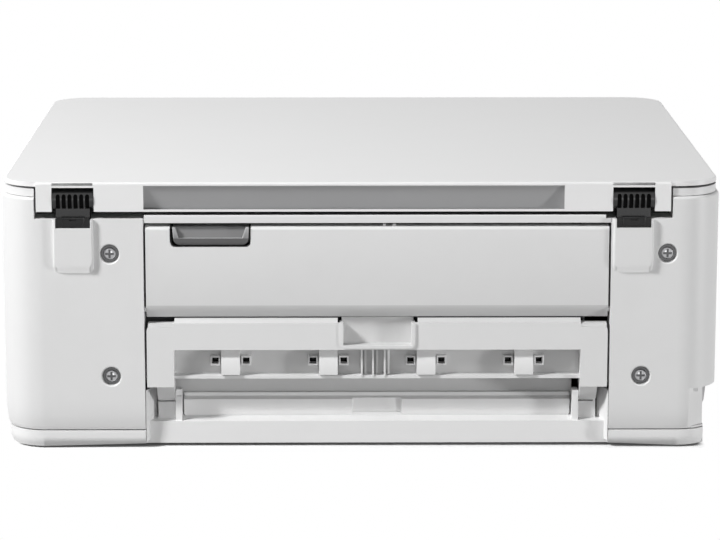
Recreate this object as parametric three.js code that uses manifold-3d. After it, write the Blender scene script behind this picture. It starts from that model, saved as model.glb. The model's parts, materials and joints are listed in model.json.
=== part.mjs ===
import * as THREE from 'three';
import { mergeVertices } from 'three/addons/utils/BufferGeometryUtils.js';
import Module from 'manifold-3d';

// A compact inkjet multifunction printer with a hinged scanner lid.
// Millimetres. X runs across the machine, +Y points to its rear, +Z up.
// Left and right are as seen by someone who stands in front of it.

const wasm = await Module();
wasm.setup();

// Driving dimensions
const bodyWidth = 400;
const bodyDepth = 343;
const bodyHeight = 151;
const cornerRadius = 24;
const wall = 2.5;
const gap = 0.3;
const runningGap = 0.5;
const over = 6;
const paperWidthShare = 0.54;
const paperRoom = 46;
const footHeight = 2.5;
const seamHeight = 10;
const shoulderDrop = 8.5;
const hingeLedgeDrop = 20.5;
const deckDrop = 6.5;
const pocketProud = 3.5;
const rightColumnShare = 0.1995;
const leftColumnShare = 0.154;
const rightSkirtReach = 20.3;
const leftSkirtReach = 20.4;
const rightHingeShare = 0.4825;
const leftHingeOffset = 12.2;
const hingeCavityDepth = 18;
const coverGap = 1.2;
const sillRecess = 6;
const sillHeight = 14.2;
const frontCornerWidth = 30;

// Places that several pieces share
const sideX = bodyWidth / 2;
const frontY = -bodyDepth / 2;
const rearY = bodyDepth / 2 - pocketProud;
const coverTop = bodyHeight - shoulderDrop;
const ledgeTop = bodyHeight - hingeLedgeDrop;
const deckTop = bodyHeight - deckDrop;
const paperWidth = bodyWidth * paperWidthShare;
const paperLength = bodyDepth - paperRoom;
const rightColumnWidth = bodyWidth * rightColumnShare;
const leftColumnWidth = bodyWidth * leftColumnShare;
const openingRight = sideX - rightColumnWidth;
const openingLeft = leftColumnWidth - sideX;
const openingMiddle = (openingRight + openingLeft) / 2;
const rightHingeX = openingRight + rightColumnWidth * rightHingeShare;
const leftHingeX = openingLeft - leftHingeOffset;
const skirtRight = rightHingeX + rightSkirtReach;
const skirtLeft = leftHingeX - leftSkirtReach;
const cavityFront = rearY - hingeCavityDepth;
const sillFace = rearY - sillRecess;
const coverBottom = seamHeight + gap;

// Numbers of sides on round shapes
const cornerSteps = 8;
const roundSides = 12;
const fineSides = 20;

// Solids

function solidOf(geometry) {
  const bare = geometry.clone();
  bare.deleteAttribute('normal');
  bare.deleteAttribute('uv');
  const merged = mergeVertices(bare);
  return new wasm.Manifold(new wasm.Mesh({
    numProp: 3,
    vertProperties: merged.attributes.position.array,
    triVerts: new Uint32Array(merged.index.array)
  }));
}

function join(...solids) {
  return solids.reduce((sum, next) => sum.add(next));
}

function cut(body, ...tools) {
  return tools.reduce((rest, tool) => rest.subtract(tool), body);
}

// A box from pairs of low and high values
function block(x, y, z) {
  const geometry = new THREE.BoxGeometry(x[1] - x[0], y[1] - y[0], z[1] - z[0]);
  geometry.translate((x[0] + x[1]) / 2, (y[0] + y[1]) / 2, (z[0] + z[1]) / 2);
  return solidOf(geometry);
}

function span(middle, size) {
  return [middle - size / 2, middle + size / 2];
}

function grow(range, amount) {
  return [range[0] - amount, range[1] + amount];
}

function polygon(points) {
  return new THREE.Shape(points.map(([u, v]) => new THREE.Vector2(u, v)));
}

// A rectangle with one radius at the low-v corners and one at the high-v corners
function roundedOutline(u, v, lowRadius, highRadius) {
  const shape = new THREE.Shape();
  shape.absarc(u[1] - lowRadius, v[0] + lowRadius, lowRadius, -Math.PI / 2, 0);
  shape.absarc(u[1] - highRadius, v[1] - highRadius, highRadius, 0, Math.PI / 2);
  shape.absarc(u[0] + highRadius, v[1] - highRadius, highRadius, Math.PI / 2, Math.PI);
  shape.absarc(u[0] + lowRadius, v[0] + lowRadius, lowRadius, Math.PI, Math.PI * 3 / 2);
  return shape;
}

function extrudeShape(shape, depth, basis, offset) {
  const settings = { depth, bevelEnabled: false, curveSegments: cornerSteps };
  const geometry = new THREE.ExtrudeGeometry(shape, settings);
  geometry.applyMatrix4(basis);
  geometry.translate(offset.x, offset.y, offset.z);
  return solidOf(geometry);
}

const alongX = new THREE.Matrix4().makeBasis(
  new THREE.Vector3(0, 1, 0), new THREE.Vector3(0, 0, 1), new THREE.Vector3(1, 0, 0));
const alongZ = new THREE.Matrix4();

// Outlines drawn in (Y, Z) and in (X, Y), carried through the third direction
function prismX(shape, x) {
  return extrudeShape(shape, x[1] - x[0], alongX, new THREE.Vector3(x[0], 0, 0));
}

function prismZ(shape, z) {
  return extrudeShape(shape, z[1] - z[0], alongZ, new THREE.Vector3(0, 0, z[0]));
}

// A prism whose top and bottom edges are rolled over by the same amounts
function rolledPrism(shape, z, rollIn, rollHeight) {
  const geometry = new THREE.ExtrudeGeometry(shape, {
    depth: z[1] - z[0] - rollHeight * 2,
    curveSegments: cornerSteps,
    bevelSize: rollIn,
    bevelThickness: rollHeight,
    bevelOffset: -rollIn,
    bevelSegments: 3
  });
  geometry.translate(0, 0, z[0] + rollHeight);
  return solidOf(geometry);
}

function rodX(radius, x, y, z, sides = roundSides) {
  const geometry = new THREE.CylinderGeometry(radius, radius, x[1] - x[0], sides);
  geometry.rotateZ(Math.PI / 2);
  geometry.translate((x[0] + x[1]) / 2, y, z);
  return solidOf(geometry);
}

function rodY(radius, x, y, z, sides = roundSides) {
  const geometry = new THREE.CylinderGeometry(radius, radius, y[1] - y[0], sides);
  geometry.translate(x, (y[0] + y[1]) / 2, z);
  return solidOf(geometry);
}

function rodZ(radius, x, y, z, sides = roundSides) {
  const geometry = new THREE.CylinderGeometry(radius, radius, z[1] - z[0], sides);
  geometry.rotateX(Math.PI / 2);
  geometry.translate(x, y, (z[0] + z[1]) / 2);
  return solidOf(geometry);
}

// Materials

function material(color, roughness, metalness = 0) {
  return new THREE.MeshStandardMaterial({ color, roughness, metalness, flatShading: true });
}

const shellPlastic = material(0xdededd, 0.5);
const lidPlastic = material(0xe4e4e3, 0.48);
const innerPlastic = material(0xcfcfce, 0.55);
const blackPlastic = material(0x1b1b1b, 0.55);
const greyPlastic = material(0x8c8c8c, 0.5);
const darkPlastic = material(0x2e2f31, 0.6);
const padFoam = material(0xf4f4f2, 0.9);
const glassPane = material(0xa9b6b8, 0.08);
const sheetSteel = material(0xa6a8aa, 0.35, 1);
const screwSteel = material(0xb9babc, 0.3, 1);
const rubber = material(0x3a3a3a, 0.85);
const circuitBoard = material(0x2c6b45, 0.6);
const displayWindow = material(0x16181b, 0.12);

// Assembly

const printer = new THREE.Group();

// A group whose own origin lies on the axis that its pieces turn about
function pivotGroup(x, y, z) {
  const group = new THREE.Group();
  group.position.set(x, y, z);
  printer.add(group);
  return group;
}

function addPiece(group, name, solid, finish) {
  const mesh = solid.getMesh();
  const geometry = new THREE.BufferGeometry();
  geometry.setAttribute('position', new THREE.BufferAttribute(mesh.vertProperties, mesh.numProp));
  geometry.setIndex(new THREE.BufferAttribute(mesh.triVerts, 1));
  geometry.translate(-group.position.x, -group.position.y, -group.position.z);
  const piece = new THREE.Mesh(geometry, finish.clone());
  piece.name = name;
  group.add(piece);
}

// Lower case: a pan with a rim, a sill across the rear opening and the flap's brackets

const baseSideInset = 2.2;
const baseEndInset = 0.8;
const baseRoll = 4;
const baseFloor = 2.5;
const railWidth = 4;
const railInset = 12;
const sillLedge = 2.5;
const sillRise = 1.5;
const flareReach = 5.4;
const flareDepth = 16;
const flareTop = 33;
const flareRecess = 1.5;

const flapWidthHalf = openingRight - openingMiddle - coverGap;
const flapLegWidth = 15;
const flapAxisDrop = 10;
const flapAxisY = rearY - flapAxisDrop;
const flapAxisZ = 29;
const flapArmWidth = 9.6;
const flapArmInset = 5.4;
const flapArmRadius = 3;
const flapPinRadius = 1.5;
const flapBracketWidth = 3.5;
const flapBracketTop = 31.5;
const flapBracketDepth = 9;
const flapRestDepth = 10.5;
const flapRestInset = 1;
const pinReach = 5;

const flapRight = openingMiddle + flapWidthHalf;
const flapArmOuter = flapWidthHalf - flapArmInset;
const flapArmInner = flapArmOuter - flapArmWidth;
const lowerGuideDepth = 20.8;
const lowerGuideY = rearY - lowerGuideDepth;

function mirrorInOpening(solid) {
  return solid.translate([-openingMiddle, 0, 0]).mirror([1, 0, 0]).translate([openingMiddle, 0, 0]);
}

function flapBracket() {
  const inner = openingMiddle + flapArmInner;
  const plateX = [inner - gap - flapBracketWidth, inner - gap];
  const plateY = [flapAxisY - flapBracketDepth / 2, flapAxisY + flapArmRadius];
  const rootZ = sillHeight - sillLedge / 2;
  const plate = block(plateX, plateY, [rootZ, flapBracketTop]);
  const pin = rodX(flapPinRadius, [plateX[0] + wall / 2, inner + pinReach], flapAxisY, flapAxisZ);
  const restX = [inner, openingMiddle + flapArmOuter];
  const restY = [flapAxisY - flapRestDepth, flapAxisY - flapRestInset];
  const rest = block(restX, restY, [rootZ, flapAxisZ - flapArmRadius - gap]);
  const foot = block([plateX[0], restX[1]], restY, [rootZ, sillHeight + wall]);
  return join(plate, pin, rest, foot);
}

function flaredWall() {
  const face = rearY - flareRecess;
  const outline = polygon([
    [openingRight - gap, face],
    [openingRight - gap, face - flareDepth],
    [openingRight - flareReach, face - flareDepth],
    [openingRight - flareReach, face - flareDepth + wall]
  ].reverse());
  return prismZ(outline, [footHeight + baseFloor / 2, flareTop]);
}

// Two ribs on the floor that the tray slides on
function trayRail(side) {
  const x = span(side * (slotHalf - railInset), railWidth);
  const y = [frontY + wall * 2, cavityFront - wall];
  return block(x, y, [footHeight + baseFloor / 2, slotFloor + trayFloorClear - gap]);
}

function basePan() {
  const x = [baseSideInset - sideX, sideX - baseSideInset];
  const y = [frontY + baseEndInset, rearY - baseEndInset];
  const radius = cornerRadius - baseSideInset;
  const outer = roundedOutline(x, y, radius, radius);
  const full = rolledPrism(outer, [footHeight, seamHeight + over * 2], baseRoll, baseRoll);
  const trim = block(grow(x, over), grow(y, over), [seamHeight, seamHeight + over * 3]);
  const inner = roundedOutline(grow(x, -wall), grow(y, -wall), radius - wall, radius - wall);
  const hollow = prismZ(inner, [footHeight + baseFloor, seamHeight + over]);
  const mouth = block([openingLeft, openingRight], [sillFace, rearY + over], [0, seamHeight + over]);
  const sill = block([openingLeft, openingRight], [sillFace - wall, sillFace], [footHeight, sillHeight]);
  const ledge = prismX(polygon([
    [lowerGuideY, sillHeight - sillLedge],
    [sillFace, sillHeight - sillLedge],
    [sillFace, sillHeight],
    [lowerGuideY, sillHeight + sillRise]
  ]), [openingLeft + gap, openingRight - gap]);
  const pan = join(cut(full, trim, hollow, mouth), sill, ledge, trayRail(-1), trayRail(1));
  const side = join(flaredWall(), flapBracket());
  return join(pan, side, mirrorInOpening(side));
}

// Feet: four rubber pads set under the pan

const footRadius = 7;
const footInset = 34;

function foot(sideways, lengthways) {
  const x = sideways * (sideX - footInset);
  const y = lengthways < 0 ? frontY + footInset : rearY - footInset;
  return rodZ(footRadius, x, y, [0, footHeight - gap / 2]);
}

// Side covers: each wraps one side, its rear column and its front corner

const coverTuckIn = 2;
const coverTuckHeight = 18;
const shoulderRoll = 1.6;
const hingeBlockWidth = 18.6;
const hingeBlockDepth = 9;
const postReach = 26;
const pocketWidth = 22.2;
const pocketTopDrop = 4.9;
const pocketHeight = 27;
const pocketTaper = 3.4;
const pocketWall = 1.8;
const ledgeThick = 2.5;
const screwRecessRadius = 5.3;
const screwRecessDepth = 3.4;
const screwBossRadius = 7.2;
const screwBossLength = 9;
const screwHoleRadius = 1.7;
const rightScrewShare = 0.2343;
const leftTopScrewShare = 0.508;
const leftLowScrewShare = 0.286;
const topScrewDrop = 19.8;
const lowScrewHeight = 41.3;
const coverPivotRadius = 1.6;
const coverPivotDepth = 4;
const coverPivotZ = 79;

const coverPivotY = rearY - coverPivotDepth;
const rightScrewX = openingRight + rightColumnWidth * rightScrewShare;
const leftTopScrewX = openingLeft - leftColumnWidth * leftTopScrewShare;
const leftLowScrewX = openingLeft - leftColumnWidth * leftLowScrewShare;
const pocketFloor = ledgeTop - postReach - runningGap;
const postBackY = rearY + pocketProud - pocketWall - gap;

const screwPlaces = [
  [rightScrewX, ledgeTop - topScrewDrop],
  [rightScrewX, lowScrewHeight],
  [leftTopScrewX, ledgeTop - topScrewDrop],
  [leftLowScrewX, lowScrewHeight]
];

function caseOutline(inset) {
  const x = [inset - sideX, sideX - inset];
  return roundedOutline(x, [frontY + inset, rearY - inset], cornerRadius - inset, cornerRadius - inset);
}

// The case as a tube: its foot tucks in and its top edge is rolled
function caseTube() {
  const lowZ = [coverBottom, coverTop + coverTuckHeight * 2];
  const low = rolledPrism(caseOutline(0), lowZ, coverTuckIn, coverTuckHeight);
  const high = rolledPrism(caseOutline(0), [coverBottom - over, coverTop], shoulderRoll, shoulderRoll);
  const bore = prismZ(caseOutline(wall), [0, coverTop + over]);
  return cut(low.intersect(high), bore);
}

function hingePocketSolid(hingeX) {
  const x = span(hingeX, pocketWidth);
  const y = [postBackY - hingeBlockDepth - gap - pocketWall, rearY + pocketProud];
  const bottomZ = ledgeTop - pocketHeight;
  const outline = polygon([
    [y[0], pocketFloor - wall],
    [rearY - wall / 2, pocketFloor - wall],
    [rearY - wall / 2, bottomZ - pocketTaper],
    [rearY, bottomZ - pocketTaper],
    [y[1], bottomZ],
    [y[1], ledgeTop],
    [y[0], ledgeTop]
  ]);
  return prismX(outline, x);
}

function hingePocketCuts(hingeX) {
  const x = grow(span(hingeX, hingeBlockWidth), gap);
  const y = [postBackY - hingeBlockDepth - gap, postBackY + gap];
  const shaft = block(x, y, [pocketFloor, ledgeTop + over]);
  const windowZ = [ledgeTop - pocketTopDrop, ledgeTop + over];
  const window = block(x, [postBackY, rearY + pocketProud + over], windowZ);
  return join(shaft, window);
}

function sideCover(side) {
  const isRight = side > 0;
  const edge = isRight ? openingRight : openingLeft;
  const hingeX = isRight ? rightHingeX : leftHingeX;
  const skirtEnd = (isRight ? skirtRight : skirtLeft) + side * coverGap;
  const toInside = (low, high) => (isRight ? [low, high] : [-high, -low]);
  const reach = Math.abs(edge);
  const skirtReach = Math.abs(skirtEnd);
  const rearKeep = block(toInside(reach, sideX + over), [0, rearY + over], [0, bodyHeight]);
  const cornerX = toInside(sideX - frontCornerWidth, sideX + over);
  const frontKeep = block(cornerX, [frontY - over, over], [0, bodyHeight]);
  const tube = caseTube().intersect(join(rearKeep, frontKeep));
  const ledgeY = [cavityFront, rearY - wall / 2];
  const ledge = block(toInside(reach, skirtReach + wall), ledgeY, [ledgeTop - ledgeThick, ledgeTop]);
  const shoulderX = toInside(skirtReach, skirtReach + wall);
  const shoulder = block(shoulderX, ledgeY, [ledgeTop - ledgeThick, coverTop]);
  const inward = block(toInside(reach, reach + wall), ledgeY, [flareTop + wall, ledgeTop]);
  const bosses = screwPlaces.filter(([x]) => x * side > 0).map(([x, z]) =>
    rodY(screwBossRadius, x, [rearY - screwBossLength, rearY - wall / 2], z, fineSides));
  const solid = join(tube, ledge, shoulder, inward, hingePocketSolid(hingeX), ...bosses);
  const notchY = [cavityFront, rearY + over];
  const hingeNotch = block(toInside(0, skirtReach), notchY, [ledgeTop, bodyHeight]);
  const recesses = screwPlaces.filter(([x]) => x * side > 0).map(([x, z]) => join(
    rodY(screwRecessRadius, x, [rearY - screwRecessDepth, rearY + over], z, fineSides),
    rodY(screwHoleRadius, x, [rearY - screwBossLength - over, rearY], z)));
  const pivotX = toInside(reach - over, reach + wall + over);
  const pivot = rodX(coverPivotRadius + gap, pivotX, coverPivotY, coverPivotZ);
  return cut(solid, hingeNotch, hingePocketCuts(hingeX), pivot, ...recesses);
}

// The left cover also has the recess that the mains inlet looks out of

const inletRecessTop = 33.7;
const inletRecessFoot = 11.3;
const inletRecessDepth = 8;
const inletRecessFront = 62;
const inletRearCut = 17;
const inletWidth = 21;
const inletHeight = 12;
const inletMiddleInset = 34;

const inletWallX = inletRecessDepth - sideX;
const inletEdgeX = inletRearCut - sideX;
const inletFrontY = rearY - inletRecessFront;
const inletCornerY = rearY - cornerRadius / 2;
const inletMiddleY = rearY - inletMiddleInset;
const inletMiddleZ = (inletRecessTop + inletRecessFoot) / 2;

function leftCover() {
  const z = [0, inletRecessTop];
  const hollow = block([-sideX - over, inletWallX], [inletFrontY, rearY + over], z);
  const corner = prismZ(polygon([
    [-sideX - over, inletFrontY],
    [inletWallX, inletFrontY],
    [inletWallX, inletCornerY],
    [inletEdgeX, rearY - wall],
    [inletEdgeX, rearY + over],
    [-sideX - over, rearY + over]
  ]), z);
  return cut(sideCover(-1), hollow, corner);
}

// Mains inlet: a moulded recess in the corner, with a flat two-pole socket and its pins

const inletLength = 20;
const inletShell = 1.6;
const inletPinRadius = 1.2;
const inletPinPitch = 8.6;
const inletPinReach = 9;

// The recess: two walls, a slanted corner, a roof and a thin floor
function inletRecess() {
  const insideX = wall + gap - sideX;
  const insideY = rearY - wall - gap;
  const z = [coverBottom, inletRecessTop + wall];
  const back = block([inletWallX, inletWallX + wall], [inletFrontY - wall, inletCornerY], z);
  const front = block([insideX, inletWallX + wall], [inletFrontY - wall, inletFrontY], z);
  const slant = prismZ(polygon([
    [inletWallX, inletCornerY - wall],
    [inletWallX + wall, inletCornerY - wall],
    [inletEdgeX + wall, insideY],
    [inletEdgeX - gap, insideY],
    [inletWallX, inletCornerY]
  ]), z);
  const roof = block([-sideX, inletEdgeX + wall], [inletFrontY - wall, rearY], [inletRecessTop, z[1]]);
  const floorZ = [coverBottom, inletRecessFoot];
  const shelf = block([insideX, inletWallX + wall], [inletFrontY - wall, inletCornerY], floorZ);
  const lining = join(back, front, slant, roof, shelf).intersect(prismZ(caseOutline(wall + gap), z));
  const floor = prismZ(caseOutline(coverTuckIn + gap), floorZ).intersect(prismZ(polygon([
    [-sideX, inletFrontY + gap],
    [inletWallX, inletFrontY + gap],
    [inletWallX, inletCornerY],
    [inletEdgeX - gap, rearY - wall],
    [inletEdgeX - gap, rearY],
    [-sideX, rearY]
  ]), floorZ));
  return join(lining, floor);
}

function mainsInlet() {
  const x = [inletWallX, inletWallX + inletLength];
  const box = block(x, span(inletMiddleY, inletWidth), span(inletMiddleZ, inletHeight));
  const mouth = block([x[0] - over, x[1] - wall],
    span(inletMiddleY, inletWidth - inletShell * 2), span(inletMiddleZ, inletHeight - inletShell * 2));
  const pinX = [x[1] - wall * 2 / 3 - inletPinReach, x[1] - wall / 2];
  const pins = [-1, 1].map((side) =>
    rodX(inletPinRadius, pinX, inletMiddleY + side * inletPinPitch / 2, inletMiddleZ));
  return join(cut(join(inletRecess(), box), mouth), ...pins);
}

// Rear screws: pan heads with a cross recess

const screwHeadRadius = 3.6;
const screwHeadHeight = 2.2;
const screwShankRadius = 1.4;
const screwLength = 9;
const crossWidth = 1;
const crossLength = 4.2;
const crossDepth = 1.3;

function rearScrew(x, z) {
  const seat = rearY - screwRecessDepth + gap;
  const head = new THREE.LatheGeometry([
    [0, 0],
    [screwHeadRadius, 0],
    [screwHeadRadius, screwHeadHeight / 2],
    [screwHeadRadius * 3 / 4, screwHeadHeight * 7 / 8],
    [0, screwHeadHeight]
  ].map(([r, h]) => new THREE.Vector2(r, h)), fineSides);
  head.translate(x, seat, 0);
  head.translate(0, 0, z);
  const top = [seat + screwHeadHeight - crossDepth, seat + screwHeadHeight + over];
  const cross = join(
    block(span(x, crossWidth), top, span(z, crossLength)),
    block(span(x, crossLength), top, span(z, crossWidth)));
  const shank = rodY(screwShankRadius, x, [seat - screwLength, seat + screwHeadHeight / 2], z);
  return cut(join(solidOf(head), shank), cross);
}

// Front fascia: a frame round the control panel, the paper opening and the ink door

const slotMargin = 11.5;
const slotFloor = 11.5;
const slotBar = 6.5;
const inkDoorOffset = 4.5;
const inkDoorEdge = 3;
const inkDoorFoot = 14;
const inkDoorHeight = 62;
const panelMargin = 3;
const panelHeight = 46;
const panelTopDrop = 7;
const panelTopClear = 1.2;
const panelAxisDrop = 3;
const panelAxisDepth = 3.6;
const panelPinRadius = 1.5;
const doorFootClear = 1;
const doorPinRadius = 1.2;
const doorPinReach = 3;
const doorAxisRise = 1.5;
const doorAxisDepth = 1.6;
const fasciaReturn = 12;

const slotHalf = paperWidth / 2 + slotMargin;
const panelWidth = paperWidth + panelMargin * 2;
const panelZ = [coverTop - panelTopDrop - panelHeight, coverTop - panelTopDrop];
const slotTop = panelZ[0] - slotBar;
const inkDoorX = [slotHalf + inkDoorOffset, sideX - frontCornerWidth - inkDoorEdge];
const inkDoorZ = [inkDoorFoot, inkDoorFoot + inkDoorHeight];
const panelX = span(0, panelWidth);
const panelAxisY = frontY + panelAxisDepth;
const panelAxisZ = panelZ[1] - panelAxisDrop;
const doorAxisY = frontY + doorAxisDepth;
const doorAxisZ = inkDoorZ[0] + doorAxisRise;

function frontFascia() {
  const reach = sideX - frontCornerWidth - gap;
  const plate = block([-reach, reach], [frontY, frontY + wall], [coverBottom, coverTop - gap]);
  const frameX = grow(span(0, panelWidth), runningGap);
  const boxY = [frontY + wall / 2, frontY + fasciaReturn];
  const surround = block(grow(frameX, wall), boxY, grow(panelZ, runningGap + wall));
  const slotBox = block([-slotHalf - wall, slotHalf + wall], boxY, [coverBottom, slotTop + wall]);
  const panelHole = block(frameX, [frontY - over, frontY + fasciaReturn + over],
    [panelZ[0] - runningGap, panelZ[1] + panelTopClear]);
  const slot = block([-slotHalf, slotHalf], [frontY - over, frontY + fasciaReturn + over], [0, slotTop]);
  const doorHole = block(grow(inkDoorX, runningGap), [frontY - over, frontY + over],
    [inkDoorZ[0] - doorFootClear, inkDoorZ[1] + runningGap]);
  const panelSeats = rodX(panelPinRadius + gap, grow(frameX, wall * 2 / 3), panelAxisY, panelAxisZ);
  const doorSeats = rodX(doorPinRadius + gap, grow(inkDoorX, doorPinReach + gap), doorAxisY, doorAxisZ);
  return cut(join(plate, surround, slotBox), panelHole, slot, doorHole, panelSeats, doorSeats);
}

// Rear rail: the bar between the columns, under the lid's skirt

const railLip = 4;
const railRecess = 0.6;
const railPlate = 2.5;

function rearRail() {
  const x = [openingLeft + gap, openingRight - gap];
  const rear = rearY - railRecess;
  const plate = block(x, [cavityFront, rear], [ledgeTop - railPlate, ledgeTop]);
  const lip = block(x, [cavityFront, cavityFront + wall], [ledgeTop - railLip, ledgeTop]);
  return join(plate, lip);
}

// Lower guide: the wall at the back of the paper tray, which turns sheets upwards

const guideFace = 5.3;
const guideFaceTop = 24.6;
const guideStepDepth = 3;
const guideStepRise = 1.3;
const guideLipRise = 2;
const lowerGuideNotchWidth = 27.3;
const lowerGuideNotchDepth = 1.2;

function lowerGuide() {
  const half = flapArmInner - flapBracketWidth - gap * 3;
  const back = lowerGuideY + gap;
  const face = lowerGuideY + guideFace;
  const foot = sillHeight + sillRise + gap;
  const stepTop = guideFaceTop + guideStepRise;
  const bar = prismX(polygon([
    [back, foot],
    [face, foot],
    [face, guideFaceTop],
    [face - guideStepDepth, stepTop],
    [face - guideStepDepth, stepTop + guideLipRise],
    [back, stepTop + guideLipRise]
  ]), [openingMiddle - half, openingMiddle + half]);
  const notch = block(span(openingMiddle, lowerGuideNotchWidth),
    [face - lowerGuideNotchDepth, face + over], [foot - over, stepTop]);
  return cut(bar, notch);
}

// Scanner: frame, pan, glass, guide rod and the bar that travels under the glass

const rimInset = 1.8;
const rimWidth = 5;
const rimHeight = 4.2;
const deckThick = 5;
const glassWidthShare = 0.77;
const glassDepthShare = 0.653;
const glassThick = 2.2;
const glassSeat = 4;
const panInset = 9;
const panFloor = 2;
const panHeight = 13;
const scanRodRadius = 2.5;
const scanRodRise = 5;
const scanBarWidth = 24;
const scanBarHeight = 9;
const scanLensWidth = 8;
const scanLensRise = 0.8;

const deckBottom = deckTop - deckThick;
const panTop = deckBottom - gap;
const panBottom = panTop - panHeight;
const panX = [wall + panInset - sideX, sideX - wall - panInset];
const panY = [frontY + wall + fasciaReturn, cavityFront - wall];
const glassX = span(0, bodyWidth * glassWidthShare);
const glassY = span((panY[0] + panY[1]) / 2, bodyDepth * glassDepthShare);
const scanRodY = (glassY[0] + glassY[1]) / 2;
const scanRodZ = panBottom + panFloor + scanRodRise;

function scannerFrame() {
  const rimOutline = caseOutline(rimInset);
  const rim = prismZ(rimOutline, [coverTop + gap, coverTop + gap + rimHeight]);
  const well = prismZ(caseOutline(rimInset + rimWidth), [deckTop, bodyHeight]);
  const under = prismZ(caseOutline(wall + gap), [deckBottom, coverTop + gap * 2]);
  const notchX = grow([skirtLeft, skirtRight], coverGap);
  const rearNotch = block(notchX, [cavityFront, rearY + over], [0, bodyHeight]);
  const deck = cut(join(rim, under), well);
  const shoulders = join(
    block([skirtRight + coverGap - over, sideX], [cavityFront - gap, rearY], [0, coverTop + gap / 2]),
    block([-sideX, skirtLeft - coverGap + over], [cavityFront - gap, rearY], [0, coverTop + gap / 2]));
  const seat = block(grow(glassX, gap), grow(glassY, gap), [deckTop - glassThick - gap, bodyHeight]);
  const light = block(grow(glassX, -glassSeat), grow(glassY, -glassSeat), [0, bodyHeight]);
  const panelRoof = block([-sideX, sideX], [frontY, panY[0] - wall], [0, coverTop + gap / 2]);
  return cut(deck, rearNotch, shoulders, seat, light, panelRoof);
}

function scannerGlass() {
  return block(glassX, glassY, [deckTop - glassThick, deckTop]);
}

function scannerPan() {
  const shell = block(panX, panY, [panBottom, panTop]);
  const hollow = block(grow(panX, -wall), grow(panY, -wall), [panBottom + panFloor, panTop + over]);
  const holes = rodX(scanRodRadius + gap / 2, grow(panX, -wall / 2), scanRodY, scanRodZ);
  return cut(shell, hollow, holes);
}

function scanRod() {
  return rodX(scanRodRadius, grow(panX, -wall * 3 / 4), scanRodY, scanRodZ);
}

const scanBarX = [glassX[0] + glassSeat, glassX[0] + glassSeat + scanBarWidth];
const scanBarTop = deckBottom - runningGap;

function scanBar() {
  const y = grow(glassY, -glassSeat);
  const body = block(scanBarX, y, [scanBarTop - scanLensRise - scanBarHeight, scanBarTop - scanLensRise]);
  const lensX = span((scanBarX[0] + scanBarX[1]) / 2, scanLensWidth);
  const lens = block(lensX, grow(y, -wall), [scanBarTop - wall, scanBarTop]);
  const saddle = block(grow(scanBarX, over), span(scanRodY, (scanRodRadius + gap) * 2),
    [panBottom, scanRodZ + scanRodRadius + gap]);
  return cut(join(body, lens), saddle);
}

// Lid: a shallow cover whose skirt hangs over the rear, with its hinges and pad

const lidInset = 1.5;
const lidGap = 1.3;
const lidPlate = 2;
const lidRoll = 1.4;
const lidRimWidth = 3;
const skirtThick = 2.5;
const skirtDrop = 16.5;
const hingeAxisDrop = 10.1;
const hingeAxisInset = 6;
const barrelWidth = 22.6;
const barrelRadius = 6.7;
const troughRightInset = 59.2;
const troughLeftInset = 58.7;
const troughTopDrop = 2;
const troughDepth = 7;
const troughWall = 1.8;
const troughLip = 1.2;
const hingeAxisY = rearY - hingeAxisInset;
const hingeAxisZ = bodyHeight - hingeAxisDrop;
const lidUnder = bodyHeight - lidPlate;
const lidFoot = coverTop + gap + rimHeight + lidGap;
const skirtFoot = bodyHeight - skirtDrop;
const troughX = [troughLeftInset + skirtLeft, skirtRight - troughRightInset];

function documentLid() {
  const outline = caseOutline(lidInset);
  const rearOutline = roundedOutline([lidInset - sideX, sideX - lidInset], [frontY + lidInset, rearY],
    cornerRadius - lidInset, cornerRadius - lidInset);
  const plate = rolledPrism(rearOutline, [lidFoot - over, bodyHeight], lidRoll, lidRoll);
  const below = block([-sideX, sideX], [frontY, rearY + over], [0, lidFoot]);
  const inner = prismZ(caseOutline(lidInset + lidRimWidth), [lidFoot - over, lidUnder]);
  const shell = cut(plate, below, inner);
  const skirtZ = [skirtFoot, bodyHeight - lidRoll];
  const skirt = block([skirtLeft, skirtRight], [rearY - skirtThick, rearY], skirtZ);
  const troughY = [rearY - troughDepth - troughWall, rearY];
  const troughShell = block(grow(troughX, troughWall), troughY, [skirtFoot, lidUnder + lidPlate / 2]);
  const hollow = prismX(polygon([
    [rearY + over, bodyHeight - troughTopDrop],
    [rearY - troughDepth / 2, bodyHeight - troughTopDrop],
    [rearY - troughDepth, bodyHeight - troughTopDrop - troughDepth / 2],
    [rearY - troughDepth, skirtFoot + troughLip],
    [rearY + over, skirtFoot + troughLip]
  ]), troughX);
  const notches = [rightHingeX, leftHingeX].map((x) =>
    block(grow(span(x, barrelWidth), gap), [rearY - skirtThick - over, rearY + over],
      [skirtFoot - over, hingeAxisZ + barrelRadius + gap]));
  return cut(join(shell, skirt, troughShell), hollow, ...notches).intersect(
    join(prismZ(outline, [0, bodyHeight]), block([skirtLeft, skirtRight], [0, rearY], [0, bodyHeight])));
}

const padInset = 26;
const padRear = 12;

function documentPad() {
  const x = [padInset - sideX, sideX - padInset];
  const y = [frontY + padInset, cavityFront - padRear];
  return block(x, y, [deckTop + gap, lidUnder - gap]);
}

// Hinge posts: ribbed barrels on blocks that plug into the pockets and lift for a book

const fluteCount = 6;
const fluteWidth = 1.9;
const fluteDepth = 0.9;
const barrelBand = 3;
const hingePinRadius = 1.6;
const hingePinReach = 2.2;
const postNotchWidth = 4;
const postNotchDepth = 1.5;
const neckDepth = 7;

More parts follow.
